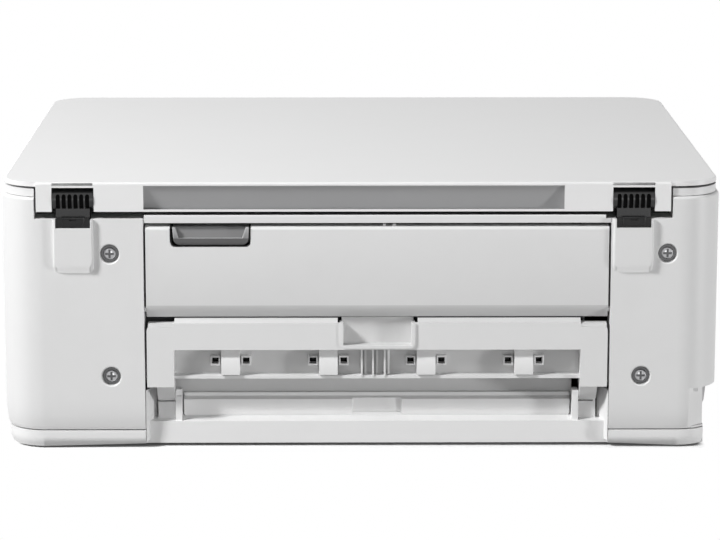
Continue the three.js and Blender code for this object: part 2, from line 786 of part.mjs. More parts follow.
function hingePost(hingeX) {
  const x = span(hingeX, barrelWidth);
  const barrel = rodX(barrelRadius, x, hingeAxisY, hingeAxisZ, fineSides);
  const blockX = span(hingeX, hingeBlockWidth);
  const blockY = [postBackY - hingeBlockDepth, postBackY];
  const shankZ = [pocketFloor + gap, hingeAxisZ - barrelRadius / 2];
  const shank = block(blockX, blockY, [shankZ[0], ledgeTop + gap * 2]);
  const neckY = [blockY[0], blockY[0] + neckDepth];
  const neck = block(blockX, neckY, [ledgeTop - wall, shankZ[1]]);
  const pin = rodX(hingePinRadius, grow(x, hingePinReach), hingeAxisY, hingeAxisZ);
  const pitch = barrelWidth / (fluteCount + 1);
  const flutes = Array.from({ length: fluteCount }, (_, index) => block(
    span(x[0] + pitch * (index + 1), fluteWidth),
    [hingeAxisY + barrelRadius - fluteDepth, hingeAxisY + barrelRadius + over],
    [hingeAxisZ - barrelRadius + barrelBand / 2, hingeAxisZ + barrelRadius - barrelBand]));
  const notch = block(span(hingeX, postNotchWidth), [postBackY - postNotchDepth, postBackY + over],
    [ledgeTop + gap * 2 - postNotchDepth, ledgeTop + over]);
  return cut(join(barrel, shank, neck, pin), notch, ...flutes);
}

const leafThick = 2.5;
const leafDepth = 16;
const earThick = 2;
const earRadius = 3.1;

// Hinge leaves: plates under the lid with two ears that turn on the barrel's pins
function hingeLeaf(hingeX) {
  const earInner = barrelWidth / 2 + gap;
  const plateX = span(hingeX, (earInner + earThick) * 2);
  const front = hingeAxisY - barrelRadius - gap;
  const plateZ = [lidUnder - gap - leafThick, lidUnder - gap];
  const plate = block(plateX, [front - leafDepth, front], plateZ);
  const ears = [-1, 1].map((side) => {
    const low = hingeX + side * earInner;
    const high = low + side * earThick;
    const earX = [Math.min(low, high), Math.max(low, high)];
    const ring = rodX(earRadius, earX, hingeAxisY, hingeAxisZ);
    const arm = prismX(polygon([
      [front - earRadius, plateZ[0] + gap],
      [hingeAxisY - earRadius / 2, hingeAxisZ - earRadius * 3 / 4],
      [hingeAxisY + earRadius * 3 / 4, hingeAxisZ + earRadius / 2],
      [front, plateZ[1]],
      [front - earRadius, plateZ[1]]
    ]), earX);
    return join(ring, arm);
  });
  const bore = rodX(hingePinRadius + gap, grow(plateX, over), hingeAxisY, hingeAxisZ);
  return cut(join(plate, ...ears), bore);
}

// Rear cover: opens backwards about its lower edge to clear a paper jam

const coverTopDrop = 4.5;
const rearCoverFoot = 74.3;
const coverChamferTop = 81.7;
const coverChamferIn = 5;
const coverRoll = 2;
const coverSkin = 2.5;
const coverRim = 9;
const latchInset = 13.8;
const latchWidth = 44;
const latchHeight = 10.7;
const latchDepth = 9;
const latchFootGap = 0.7;

const rearCoverTop = ledgeTop - coverTopDrop;
const rearCoverX = [openingLeft + coverGap, openingRight - coverGap];
const latchX = [rearCoverX[1] - latchInset - latchWidth, rearCoverX[1] - latchInset];
const latchZ = [rearCoverTop - latchHeight, rearCoverTop];
const latchHoleZ = [latchZ[0] - latchFootGap, rearCoverTop + over];

function rearCoverOutline(inset) {
  const rear = rearY - inset;
  return polygon([
    [rearY - coverRim, rearCoverFoot + inset],
    [rear - coverChamferIn, rearCoverFoot + inset],
    [rear, coverChamferTop],
    [rear, rearCoverTop - coverRoll],
    [rear - coverRoll / 3, rearCoverTop - coverRoll / 3 - inset],
    [rear - coverRoll, rearCoverTop - inset],
    [rearY - coverRim, rearCoverTop - inset]
  ]);
}

function rearCover() {
  const solid = prismX(rearCoverOutline(0), rearCoverX);
  const hollow = prismX(rearCoverOutline(coverSkin), grow(rearCoverX, -coverSkin));
  const open = block(grow(rearCoverX, -coverSkin),
    [rearY - coverRim - over, rearY - coverRim + gap],
    [rearCoverFoot + coverSkin, rearCoverTop - coverSkin]);
  const pins = [
    [rearCoverX[0] - coverGap - wall + gap, rearCoverX[0] + wall],
    [rearCoverX[1] - wall, rearCoverX[1] + coverGap + wall - gap]
  ].map((x) => rodX(coverPivotRadius, x, coverPivotY, coverPivotZ));
  const latchWell = block(grow(latchX, wall),
    [rearY - coverRim, rearY - wall / 2], [latchZ[0] - wall, rearCoverTop - gap]);
  const latchHole = block(grow(latchX, gap), [rearY - coverRim - over, rearY + over], latchHoleZ);
  return cut(join(cut(solid, hollow, open), ...pins, latchWell), latchHole);
}

// Latch: a grey scoop that is pulled down to free the cover

const latchRecess = 0.8;
const latchRim = 1.6;
const latchLip = 4.5;
const latchMouthDepth = 6;
const latchHookDepth = 2.2;

function rearLatch() {
  const rear = rearY - latchRecess;
  const body = block(latchX, [rearY - latchDepth, rear], latchZ);
  const mouth = block(grow(latchX, -latchRim), [rear - latchMouthDepth, rear + over],
    [latchZ[0] + latchLip, latchZ[1] - latchRim]);
  const hook = block(span((latchX[0] + latchX[1]) / 2, latchWidth / 3),
    [rearY - latchDepth - latchHookDepth, rearY - latchDepth + gap], [latchZ[1] - wall, latchZ[1]]);
  return join(cut(body, mouth), hook);
}

// Lower flap: an upside-down U with a set-back middle, which opens backwards on two pins

const flapTop = 71.6;
const flapBarFoot = 56.4;
const flapLegFoot = 35.2;
const flapSkin = 2.5;
const flapSetBack = 10;
const flapPanelFoot = 39.3;
const flapLip = 1.7;
const flapEndStep = 2.2;
const flapEndWidth = 15;
const flapPadHeight = 9.2;
const flapPadFoot = 41.6;
const flapPadProud = 4;
const flapPadWidth = 10.4;
const flapPadPitch = 54.5;
const flapHoleSize = 3.6;
const flapHoleGap = 1.6;
const flapRibWidth = 1.2;
const flapRibPitch = 6.5;
const flapRibProud = 2;
const scoopWidth = 38;
const scoopDepth = 6.5;
const scoopFoot = 59;
const scoopWall = 2;

const flapX = [openingMiddle - flapWidthHalf, flapRight];
const flapWindowX = grow(flapX, -flapLegWidth);
const flapPanelY = [rearY - flapSetBack - flapSkin, rearY - flapSetBack];
const flapPadShares = [-1.5, -0.5, 0.5, 1.5];
const flapPadPlaces = flapPadShares.map((share) => openingMiddle + share * flapPadPitch);

function flapPad(x) {
  const z = [flapPadFoot, flapPadFoot + flapPadHeight];
  return block(span(x, flapPadWidth), [flapPanelY[1] - gap, flapPanelY[1] + flapPadProud], z);
}

function flapHoles(x) {
  const top = flapPadFoot + flapPadHeight;
  return [-1, 1].map((side) => block(
    span(x + side * (flapPadWidth / 2 + flapHoleGap + flapHoleSize / 2), flapHoleSize),
    grow(flapPanelY, over), [top - flapHoleSize, top]));
}

function flapArm(side) {
  const outer = openingMiddle + side * flapArmOuter;
  const inner = openingMiddle + side * flapArmInner;
  const x = [Math.min(outer, inner), Math.max(outer, inner)];
  const end = rodX(flapArmRadius, x, flapAxisY, flapAxisZ, fineSides);
  const stem = prismX(polygon([
    [flapAxisY - flapArmRadius, flapAxisZ],
    [flapAxisY, flapAxisZ - flapArmRadius],
    [flapAxisY + flapArmRadius * 3 / 4, flapAxisZ - flapArmRadius * 2 / 3],
    [rearY, flapLegFoot],
    [rearY, flapPanelFoot],
    [rearY - flapSkin, flapPanelFoot + flapLip],
    [flapAxisY - flapArmRadius, flapPanelFoot + flapLip]
  ]), x);
  return join(end, stem);
}

function lowerFlap() {
  const z = [flapLegFoot, flapTop];
  const face = block(flapX, [rearY - flapSkin, rearY], z);
  const tunnel = block(grow(flapWindowX, flapSkin),
    [flapPanelY[0], rearY - flapSkin / 2], [flapPanelFoot, flapBarFoot + flapSkin]);
  const hollow = block(flapWindowX, [flapPanelY[1], rearY + over], [flapPanelFoot + flapLip, flapBarFoot]);
  const under = block(flapWindowX, [flapPanelY[1] + scoopDepth, rearY + over], [0, flapBarFoot]);
  const scoopX = span(openingMiddle, scoopWidth);
  const scoopShell = block(grow(scoopX, scoopWall),
    [rearY - scoopDepth - scoopWall, rearY], [scoopFoot - scoopWall, flapTop]);
  const scoop = block(scoopX, [rearY - scoopDepth, rearY + over], [scoopFoot, flapTop + over]);
  const ends = [
    [flapX[0] - over, flapX[0] + flapEndWidth],
    [flapX[1] - flapEndWidth, flapX[1] + over]
  ];
  const steps = ends.map((x) =>
    block(x, [flapPanelY[0], rearY + over], [flapTop - flapEndStep, flapTop + over]));
  const ribs = [-1, 0, 1].map((step) => block(span(openingMiddle + step * flapRibPitch, flapRibWidth),
    [flapPanelY[1] - gap, flapPanelY[1] + flapRibProud], [flapPanelFoot + gap, flapBarFoot + gap]));
  const arms = [-1, 1].map(flapArm);
  const bore = rodX(flapPinRadius + gap, grow(flapX, over), flapAxisY, flapAxisZ);
  const panel = cut(join(face, tunnel), hollow, under);
  const frame = join(panel, ...ribs, ...flapPadPlaces.map(flapPad), ...arms);
  return cut(join(frame, scoopShell), scoop, bore, ...steps, ...flapPadPlaces.flatMap(flapHoles));
}

// Print mechanism: side plates with a beam, platen, carriage, rollers and gears

const frameGap = 17;
const plateThick = 1.5;
const plateFrontShare = 0.1808;
const plateRearGap = 10;
const beamRear = 84;
const beamClear = 10.4;
const beamShelf = 10;
const platenRear = 12;
const platenFront = -26;
const platenDropShare = 0.2775;
const platenThick = 3;
const platenRibCount = 9;
const platenRibHeight = 1.5;
const feedRollerRadius = 6;
const exitRollerRadius = 4.5;
const rollerTopDrop = 0.4;
const rollerClear = 2;
const shaftRadius = 2.5;
const shaftReach = 9;
const gearWidth = 5;
const feedToothCount = 30;
const idlerToothCount = 26;
const exitToothCount = 24;
const toothSize = 1;
const idlerStudRadius = 2.2;
const guideBend = 24;
const guidePlate = 2;
const guideFootRise = 6;
const guideTopDrop = 3;
const carriageWidth = 86;
const carriageHeight = 26;
const carriageClear = 2.5;
const carriagePark = 30;

const innerPlateX = paperWidth / 2 + frameGap;
const plateTop = panBottom - gap;
const plateFloor = footHeight + baseFloor + gap;
const platenTop = plateTop - bodyHeight * platenDropShare;
const plateFront = -bodyDepth * plateFrontShare;
const guideRear = cavityFront - runningGap;
const beamY = [beamRear - plateThick, beamRear];
const feedRollerY = platenRear + rollerClear + feedRollerRadius;
const feedRollerZ = platenTop - feedRollerRadius + rollerTopDrop;
const feedPitchRadius = feedToothCount * toothSize / 2;
const idlerPitchRadius = idlerToothCount * toothSize / 2;
const exitPitchRadius = exitToothCount * toothSize / 2;
const exitRollerY = platenFront - rollerClear - exitRollerRadius;
const exitRollerZ = platenTop - exitRollerRadius + rollerTopDrop;

function printFrame() {
  const plates = [-1, 1].map((side) => block(
    side > 0 ? [innerPlateX, innerPlateX + plateThick] : [-innerPlateX - plateThick, -innerPlateX],
    [plateFront, cavityFront - plateRearGap], [plateFloor, plateTop]));
  const x = [-innerPlateX - plateThick / 2, innerPlateX + plateThick / 2];
  const beam = block(x, beamY, [pickupZ + pickupRadius + beamClear, plateTop]);
  const shelf = block(x, [beamRear - beamShelf, beamRear], [plateTop - plateThick, plateTop]);
  const shafts = [[feedRollerY, feedRollerZ], [exitRollerY, exitRollerZ]].map(([y, z]) =>
    rodX(shaftRadius + gap, grow(x, over), y, z));
  const armRod = rodX(shaftRadius, x, pickupAxisY, pickupZ);
  const idlerStud = rodX(idlerStudRadius, [innerPlateX + plateThick / 2, gearX[1]], idler.y, idler.z);
  return cut(join(...plates, beam, shelf, armRod, idlerStud), ...shafts);
}

function platen() {
  const x = [gap - innerPlateX, innerPlateX - gap];
  const slab = block(x, [platenFront, platenRear], [platenTop - platenThick, platenTop]);
  const pitch = paperWidth / platenRibCount;
  const ribs = Array.from({ length: platenRibCount }, (_, index) => block(
    span((index + 1 / 2) * pitch - paperWidth / 2, plateThick),
    grow([platenFront, platenRear], -wall), [platenTop - gap, platenTop + platenRibHeight]));
  return join(slab, ...ribs);
}

function roller(radius, y, z, reach) {
  const body = rodX(radius, [-paperWidth / 2, paperWidth / 2], y, z, fineSides);
  const shaftX = [-innerPlateX - plateThick - wall, innerPlateX + plateThick + reach];
  const shaft = rodX(shaftRadius, shaftX, y, z);
  return join(body, shaft);
}

// A spur gear about the X direction; turn is its angle at rest
function gear(teeth, x, y, z, turn, boreRadius) {
  const pitchRadius = teeth * toothSize / 2;
  const tip = pitchRadius + toothSize * 4 / 5;
  const root = pitchRadius - toothSize * 11 / 10;
  const step = Math.PI * 2 / teeth;
  const toothShares = [[-0.25, root], [-0.12, tip], [0.12, tip], [0.25, root]];
  const points = [];
  for (let tooth = 0; tooth < teeth; tooth += 1) {
    for (const [share, radius] of toothShares) {
      const angle = turn + (tooth + share) * step;
      points.push([Math.cos(angle) * radius, Math.sin(angle) * radius]);
    }
  }
  const wheel = prismX(polygon(points), x).translate([0, y, z]);
  return cut(wheel, rodX(boreRadius, grow(x, over), y, z));
}

const gearX = [innerPlateX + plateThick + gap * 2, innerPlateX + plateThick + gap * 2 + gearWidth];

// The idler meshes with both roller gears, so its centre lies off the line between them
function idlerPlace() {
  const toFeed = feedPitchRadius + idlerPitchRadius;
  const toExit = exitPitchRadius + idlerPitchRadius;
  const dy = exitRollerY - feedRollerY;
  const dz = exitRollerZ - feedRollerZ;
  const distance = Math.hypot(dy, dz);
  const along = (distance ** 2 + toFeed ** 2 - toExit ** 2) / (distance * 2);
  const aside = Math.sqrt(Math.max(toFeed ** 2 - along ** 2, 0));
  const y = feedRollerY + (dy * along + dz * aside) / distance;
  const z = feedRollerZ + (dz * along - dy * aside) / distance;
  return { y, z };
}

const idler = idlerPlace();

function angleFrom(y0, z0, y1, z1) {
  return Math.atan2(z1 - z0, y1 - y0);
}

const idlerStep = Math.PI * 2 / idlerToothCount;
const idlerToFeed = angleFrom(idler.y, idler.z, feedRollerY, feedRollerZ);
const idlerToExit = angleFrom(idler.y, idler.z, exitRollerY, exitRollerZ);

// Inner guide: the inside of the turn that sheets take behind the rear cover
function innerGuide() {
  const x = [gap - innerPlateX, innerPlateX - gap];
  const z = [trayZ[1] + guideFootRise, plateTop - guideTopDrop];
  const bendY = guideRear - guideBend;
  const bendZ = z[1] - guideBend;
  const upright = block(x, [guideRear - guidePlate, guideRear], [z[0], bendZ]);
  const drum = rodX(guideBend, x, bendY, bendZ, fineSides);
  const core = rodX(guideBend - guidePlate, grow(x, over), bendY, bendZ, fineSides);
  const quarter = block(x, [bendY, guideRear], [bendZ, z[1]]);
  return join(upright, cut(drum, core).intersect(quarter));
}

// The turn that puts a gap of the wheel where the idler has a tooth
function meshTurn(teeth, towards) {
  const step = Math.PI * 2 / teeth;
  const idlerPhase = (towards - idlerToFeed) / idlerStep;
  const facing = towards + Math.PI;
  return facing + (idlerPhase + 1 / 2) * step;
}

const carriageX = [innerPlateX - carriagePark - carriageWidth, innerPlateX - carriagePark];
const carriageY = [platenFront + carriageClear, beamY[0] - gap];
const carriageFoot = platenTop + platenRibHeight + carriageClear;
const carriageZ = [carriageFoot, carriageFoot + carriageHeight];
const headDepth = 30;

function printCarriage() {
  const body = block(carriageX, [carriageY[0], carriageY[0] + headDepth * 2], carriageZ);
  const yokeZ = [carriageZ[1] - headDepth / 2, carriageZ[1]];
  const yoke = block(grow(carriageX, -wall * 2), [carriageY[0] + headDepth, carriageY[1]], yokeZ);
  const nose = block(grow(carriageX, -headDepth / 2), [carriageY[0] + wall, carriageY[0] + headDepth],
    [carriageZ[0] - carriageClear / 2, carriageZ[0] + wall]);
  const well = block(grow(carriageX, -wall), [carriageY[0] + wall, carriageY[0] + headDepth * 2 - wall],
    [carriageZ[0] + headDepth / 3, carriageZ[1] + over]);
  return join(cut(join(body, nose), well), yoke);
}

// Electronics beside the print mechanism, on the side of the inlet

const boardThick = 1.6;
const boardStand = 12;
const boardLengthShare = 0.4373;
const boardHeightShare = 0.583;
const boardGap = 7;
const supplyWidth = 36;
const supplyInset = 50;
const supplyLengthShare = 0.28;
const supplyHeight = 44;

const supplyY = [rearY - supplyInset - bodyDepth * supplyLengthShare, rearY - supplyInset];
const boardLength = bodyDepth * boardLengthShare;
const boardHeight = bodyHeight * boardHeightShare;
const boardFront = supplyY[0] - boardGap - boardLength;

function mainBoard() {
  const x = -innerPlateX - plateThick - boardStand;
  const z = [plateFloor, plateFloor + boardHeight];
  const board = block([x - boardThick, x], [boardFront, boardFront + boardLength], z);
  const chip = block([x - boardThick * 2, x - boardThick / 2],
    span(boardFront + boardLength / 2, boardStand * 2),
    span(plateFloor + boardHeight / 2, boardStand * 2));
  const plug = block([x - boardThick - boardStand / 2, x - boardThick / 2],
    [boardFront + boardStand, boardFront + boardStand * 3], [z[1] - boardStand, z[1] - boardStand / 3]);
  return join(board, chip, plug);
}

function powerSupply() {
  const right = -innerPlateX - plateThick - boardStand / 2;
  return block([right - supplyWidth, right], supplyY, [plateFloor, plateFloor + supplyHeight]);
}

// Paper tray: a drawer with two coupled side guides, an end guide, a cover and a stop flap

const trayClear = 0.5;
const trayFloorClear = 1;
const trayHeightShare = 0.2848;
const trayWall = 2;
const trayFloor = 2;
const trayFront = 16;
const trayFrontRise = 3;
const guideHeightShare = 0.7;
const guideThick = 2;
const guideLength = 120;
const guideStart = 60;
const guideFoot = 16;
const endGuideWidth = 30;
const trayEndRoom = 3;
const trayCoverThick = 2;
const stopWidth = 70;
const stopLength = 22;
const stopThick = 2;
const stopPinRadius = 1.2;

const trayHeight = bodyHeight * trayHeightShare;
const guideHeight = trayHeight * guideHeightShare;
const trayX = [trayClear - slotHalf, slotHalf - trayClear];
const trayZ = [slotFloor + trayFloorClear, slotFloor + trayFloorClear + trayHeight];
const trayInnerFront = frontY + trayFront;
const trayRear = trayInnerFront + paperLength + trayEndRoom;
const stopAxisY = frontY + trayWall + stopPinRadius;
const trayTop = trayZ[1] + trayFrontRise;
const stopAxisZ = trayTop + stopPinRadius + gap;

function paperTray() {
  const body = block(trayX, [frontY + wall, trayRear + trayWall], trayZ);
  const front = block(trayX, [frontY + gap, frontY + trayFront / 2], [trayZ[0], trayTop]);
  const hollow = block(grow(trayX, -trayWall),
    [trayInnerFront, trayRear], [trayZ[0] + trayFloor, trayZ[1] + over]);
  const grip = block(span(0, paperWidth / 3),
    [frontY - over, frontY + trayFront / 3], [trayZ[0] - over, trayZ[0] + trayFront / 2]);
  const ears = [-1, 1].map((side) => {
    const middle = side * (stopWidth / 2 + trayWall + gap);
    return block(span(middle, trayWall), span(stopAxisY, stopPinRadius * 4),
      [trayTop - gap, stopAxisZ + stopPinRadius * 2]);
  });
  const pinHoles = rodX(stopPinRadius + gap / 2, span(0, stopWidth + trayWall * 4), stopAxisY, stopAxisZ);
  return cut(join(body, front, ...ears), hollow, grip, pinHoles);
}

function trayCover() {
  const z = [trayZ[1] + gap, trayZ[1] + gap + trayCoverThick];
  const rear = trayInnerFront + paperLength / 2;
  const plate = block(grow(trayX, -trayWall), [frontY + trayFront / 2 + gap, rear], z);
  const well = block(span(0, paperWidth / 2),
    [trayInnerFront + stopLength * 2, rear + over], [z[0] + trayCoverThick / 2, z[1] + over]);
  return cut(plate, well);
}

// The flap that stops printed sheets lies on the tray cover until it is swung out
function stopFlap() {
  const y = [stopAxisY, stopAxisY + stopLength];
  const z = [stopAxisZ - stopThick / 2, stopAxisZ + stopThick / 2];
  const plate = block(span(0, stopWidth), y, z);
  const pin = rodX(stopPinRadius, span(0, stopWidth + trayWall + gap * 2), stopAxisY, stopAxisZ);
  return join(plate, pin);
}

function widthGuide(side) {
  const face = side * (paperWidth / 2 + gap);
  const back = face + side * guideThick;
  const x = [Math.min(face, back), Math.max(face, back)];
  const y = [trayInnerFront + guideStart, trayInnerFront + guideStart + guideLength];
  const floor = trayZ[0] + trayFloor + gap;
  const fence = block(x, y, [floor, floor + guideHeight]);
  const shoeX = side > 0 ? [x[0] - guideFoot, x[1]] : [x[0], x[1] + guideFoot];
  const shoe = block(shoeX, grow(y, -guideLength / 3), [floor, floor + guideThick]);
  return join(fence, shoe);
}

function endGuide() {
  const y = [trayRear - trayEndRoom, trayRear - trayEndRoom + guideThick];
  const floor = trayZ[0] + trayFloor + gap;
  const fence = block(span(0, endGuideWidth), y, [floor, floor + guideHeight]);
  const shoe = block(span(0, endGuideWidth), [y[0] - guideFoot, y[1]], [floor, floor + guideThick]);
  return join(fence, shoe);
}

// Control panel: tilts out about its top edge and carries a display and buttons

const panelThick = 9;
const panelBackStep = 8;
const displayWidth = 44;
const displayHeight = 30;
const displayThick = 2;
const displayMiddle = -20;
const buttonRadius = 5.5;
const buttonLength = 5;
const buttonProud = 0.9;
const buttonFace = 1.2;

const panelFrontY = frontY + buttonFace;
const panelMiddleZ = (panelZ[0] + panelZ[1]) / 2;
const displayZ = span(panelMiddleZ, displayHeight);
const buttonShares = { power_button: -0.41, stop_button: 0.2, ok_button: 0.3, start_button: 0.4 };

function buttonX(name) {
  return buttonShares[name] * panelWidth;
}

function controlPanel() {
  const body = block(panelX, [panelFrontY, panelFrontY + panelThick], panelZ);
  const hollow = block(grow(panelX, -wall), [panelFrontY + wall * 2, panelFrontY + panelThick + over],
    [panelZ[0] + wall, panelZ[1] - panelBackStep]);
  const displayWell = block(grow(span(displayMiddle, displayWidth), gap),
    [panelFrontY - over, panelFrontY + displayThick + gap], grow(displayZ, gap));
  const holes = Object.keys(buttonShares).map((name) => rodY(buttonRadius + gap, buttonX(name),
    [panelFrontY - over, panelFrontY + panelThick + over], panelMiddleZ, fineSides));
  const pins = rodX(panelPinRadius, grow(panelX, runningGap + wall / 2), panelAxisY, panelAxisZ);
  return cut(join(body, pins), hollow, displayWell, ...holes);
}

function displayPane() {
  return block(span(displayMiddle, displayWidth), [panelFrontY, panelFrontY + displayThick], displayZ);
}

function panelButton(name) {
  const y = [panelFrontY - buttonProud, panelFrontY - buttonProud + buttonLength];
  return rodY(buttonRadius, buttonX(name), y, panelMiddleZ, fineSides);
}

// Ink: a bay with four cartridges behind a door in the front

const bayBack = 8;
const bayWall = 1.4;
const cartridgeCount = 4;
const cartridgeGap = 0.8;
const cartridgeDepth = 74;
const cartridgeTopClear = 3;
const bayClear = 3;

const bayDepth = cartridgeDepth + bayBack;
const bayX = [inkDoorX[0] + bayWall, inkDoorX[1] - bayWall];
const bayFrontY = frontY + wall + bayClear;
const bayInnerX = grow(bayX, -bayWall);
const cartridgePitch = (bayInnerX[1] - bayInnerX[0]) / cartridgeCount;
const bayFloorZ = seamHeight - baseFloor;

function cartridgeBay() {
  const y = [bayFrontY, bayFrontY + bayDepth];
  const shell = block(bayX, y, [plateFloor, inkDoorZ[1] - gap]);
  const innerY = [y[0] - over, y[1] - bayWall * 2];
  const hollow = block(bayInnerX, innerY, [inkDoorZ[0] + bayWall, inkDoorZ[1] - bayWall * 2]);
  const lighten = block(bayInnerX, innerY, [bayFloorZ, inkDoorZ[0] - bayWall]);
  return cut(shell, hollow, lighten);
}

function inkCartridge(index) {
  const middle = bayInnerX[0] + cartridgePitch * (index + 1 / 2);
  const z = [inkDoorZ[0] + bayWall + gap, inkDoorZ[1] - bayWall * 2 - cartridgeTopClear];
  const y = [bayFrontY + bayClear, bayFrontY + bayClear + cartridgeDepth];
  const body = block(span(middle, cartridgePitch - cartridgeGap), y, z);
  const thumb = block(span(middle, cartridgePitch / 2), [y[0] - bayClear / 2, y[0] + gap],
    [z[1] - cartridgeTopClear * 3, z[1] - cartridgeTopClear]);
  return join(body, thumb);
}

function inkDoor() {
  const plate = block(inkDoorX, [frontY + gap, frontY + gap + wall], inkDoorZ);
  const pin = rodX(doorPinRadius, grow(inkDoorX, doorPinReach), doorAxisY, doorAxisZ);
  return join(plate, pin);
}

// Pickup roller on a short arm over the tray

const pickupRadius = 9;
const pickupWidth = 26;
const pickupArmWidth = 4;
const pickupReach = 34;
const pickupAxisY = 50;
const pickupRise = 2;

const pickupZ = trayZ[1] + pickupRadius + pickupRise;
const pickupY = pickupAxisY + pickupReach;

function pickupArm() {
  const armX = [pickupWidth / 2 + gap, pickupWidth / 2 + gap + pickupArmWidth];
  const pivot = rodX(pickupRadius / 2, armX, pickupAxisY, pickupZ);
  const hub = rodX(pickupRadius / 2, armX, pickupY, pickupZ);
  const stem = block(armX, [pickupAxisY, pickupY], span(pickupZ, pickupRadius * 2 / 3));
  const axle = rodX(shaftRadius, [-pickupWidth / 2, armX[1]], pickupY, pickupZ);
  const bore = rodX(shaftRadius + gap, grow(armX, over), pickupAxisY, pickupZ);
  return cut(join(pivot, hub, stem, axle), bore);
}

function pickupRoller() {
  const x = span(0, pickupWidth);
  const tyre = rodX(pickupRadius, x, pickupY, pickupZ, fineSides);
  return cut(tyre, rodX(shaftRadius + gap, grow(x, over), pickupY, pickupZ));
}

// Everything in its place

const lidGroup = pivotGroup(0, hingeAxisY, hingeAxisZ);
const coverGroup = pivotGroup(0, coverPivotY, coverPivotZ);
const flapGroup = pivotGroup(0, flapAxisY, flapAxisZ);
const trayGroup = pivotGroup(0, frontY, trayZ[0]);
const panelGroup = pivotGroup(0, panelAxisY, panelAxisZ);
const doorGroup = pivotGroup(0, doorAxisY, doorAxisZ);

addPiece(printer, 'base_pan', basePan(), shellPlastic);
addPiece(printer, 'side_cover_right', sideCover(1), shellPlastic);
addPiece(printer, 'side_cover_left', leftCover(), shellPlastic);
addPiece(printer, 'front_fascia', frontFascia(), shellPlastic);
addPiece(printer, 'rear_rail', rearRail(), shellPlastic);
addPiece(printer, 'lower_guide', lowerGuide(), innerPlastic);
addPiece(printer, 'mains_inlet', mainsInlet(), darkPlastic);
for (const [name, sideways, lengthways] of [
  ['foot_front_left', -1, -1], ['foot_front_right', 1, -1],
  ['foot_rear_left', -1, 1], ['foot_rear_right', 1, 1]]) {
  addPiece(printer, name, foot(sideways, lengthways), rubber);
}
const screwNames = ['screw_right_top', 'screw_right_low', 'screw_left_top', 'screw_left_low'];
screwNames.forEach((name, index) => addPiece(printer, name, rearScrew(...screwPlaces[index]), screwSteel));

addPiece(printer, 'scanner_frame', scannerFrame(), shellPlastic);
addPiece(printer, 'scanner_pan', scannerPan(), innerPlastic);
addPiece(printer, 'scanner_glass', scannerGlass(), glassPane);
addPiece(printer, 'scan_rod', scanRod(), sheetSteel);
addPiece(printer, 'scan_bar', scanBar(), darkPlastic);

addPiece(printer, 'hinge_post_right', hingePost(rightHingeX), blackPlastic);
addPiece(printer, 'hinge_post_left', hingePost(leftHingeX), blackPlastic);
addPiece(lidGroup, 'document_lid', documentLid(), lidPlastic);
addPiece(lidGroup, 'document_pad', documentPad(), padFoam);
addPiece(lidGroup, 'hinge_leaf_right', hingeLeaf(rightHingeX), blackPlastic);
addPiece(lidGroup, 'hinge_leaf_left', hingeLeaf(leftHingeX), blackPlastic);

addPiece(coverGroup, 'rear_cover', rearCover(), shellPlastic);
addPiece(coverGroup, 'rear_latch', rearLatch(), greyPlastic);
addPiece(flapGroup, 'lower_flap', lowerFlap(), shellPlastic);

addPiece(printer, 'print_frame', printFrame(), sheetSteel);
addPiece(printer, 'inner_guide', innerGuide(), darkPlastic);
addPiece(printer, 'platen', platen(), darkPlastic);
addPiece(printer, 'print_carriage', printCarriage(), darkPlastic);
addPiece(printer, 'feed_roller', roller(feedRollerRadius, feedRollerY, feedRollerZ, shaftReach), sheetSteel);
addPiece(printer, 'exit_roller', roller(exitRollerRadius, exitRollerY, exitRollerZ, shaftReach), rubber);
addPiece(printer, 'feed_gear', gear(feedToothCount, gearX, feedRollerY, feedRollerZ,
  meshTurn(feedToothCount, idlerToFeed), shaftRadius + gap / 3), innerPlastic);
addPiece(printer, 'idler_gear', gear(idlerToothCount, gearX, idler.y, idler.z,
  idlerToFeed, shaftRadius), innerPlastic);
addPiece(printer, 'exit_gear', gear(exitToothCount, gearX, exitRollerY, exitRollerZ,
  meshTurn(exitToothCount, idlerToExit), shaftRadius + gap / 3), innerPlastic);
addPiece(printer, 'pickup_arm', pickupArm(), darkPlastic);
addPiece(printer, 'pickup_roller', pickupRoller(), rubber);
addPiece(printer, 'main_board', mainBoard(), circuitBoard);
addPiece(printer, 'power_supply', powerSupply(), darkPlastic);

addPiece(trayGroup, 'paper_tray', paperTray(), innerPlastic);
addPiece(trayGroup, 'tray_cover', trayCover(), innerPlastic);
addPiece(trayGroup, 'stop_flap', stopFlap(), innerPlastic);
addPiece(trayGroup, 'width_guide_left', widthGuide(-1), darkPlastic);
addPiece(trayGroup, 'width_guide_right', widthGuide(1), darkPlastic);
addPiece(trayGroup, 'end_guide', endGuide(), darkPlastic);

addPiece(panelGroup, 'control_panel', controlPanel(), shellPlastic);
addPiece(panelGroup, 'display_window', displayPane(), displayWindow);
for (const name of Object.keys(buttonShares)) {
  addPiece(panelGroup, name, panelButton(name), greyPlastic);
}

addPiece(printer, 'cartridge_bay', cartridgeBay(), darkPlastic);
['black', 'cyan', 'magenta', 'yellow'].forEach((ink, index) =>
  addPiece(printer, `cartridge_${ink}`, inkCartridge(index), darkPlastic));
addPiece(doorGroup, 'ink_door', inkDoor(), shellPlastic);

export default printer;
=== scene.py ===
import json
import math

import bmesh
import bpy
from mathutils import Matrix, Vector


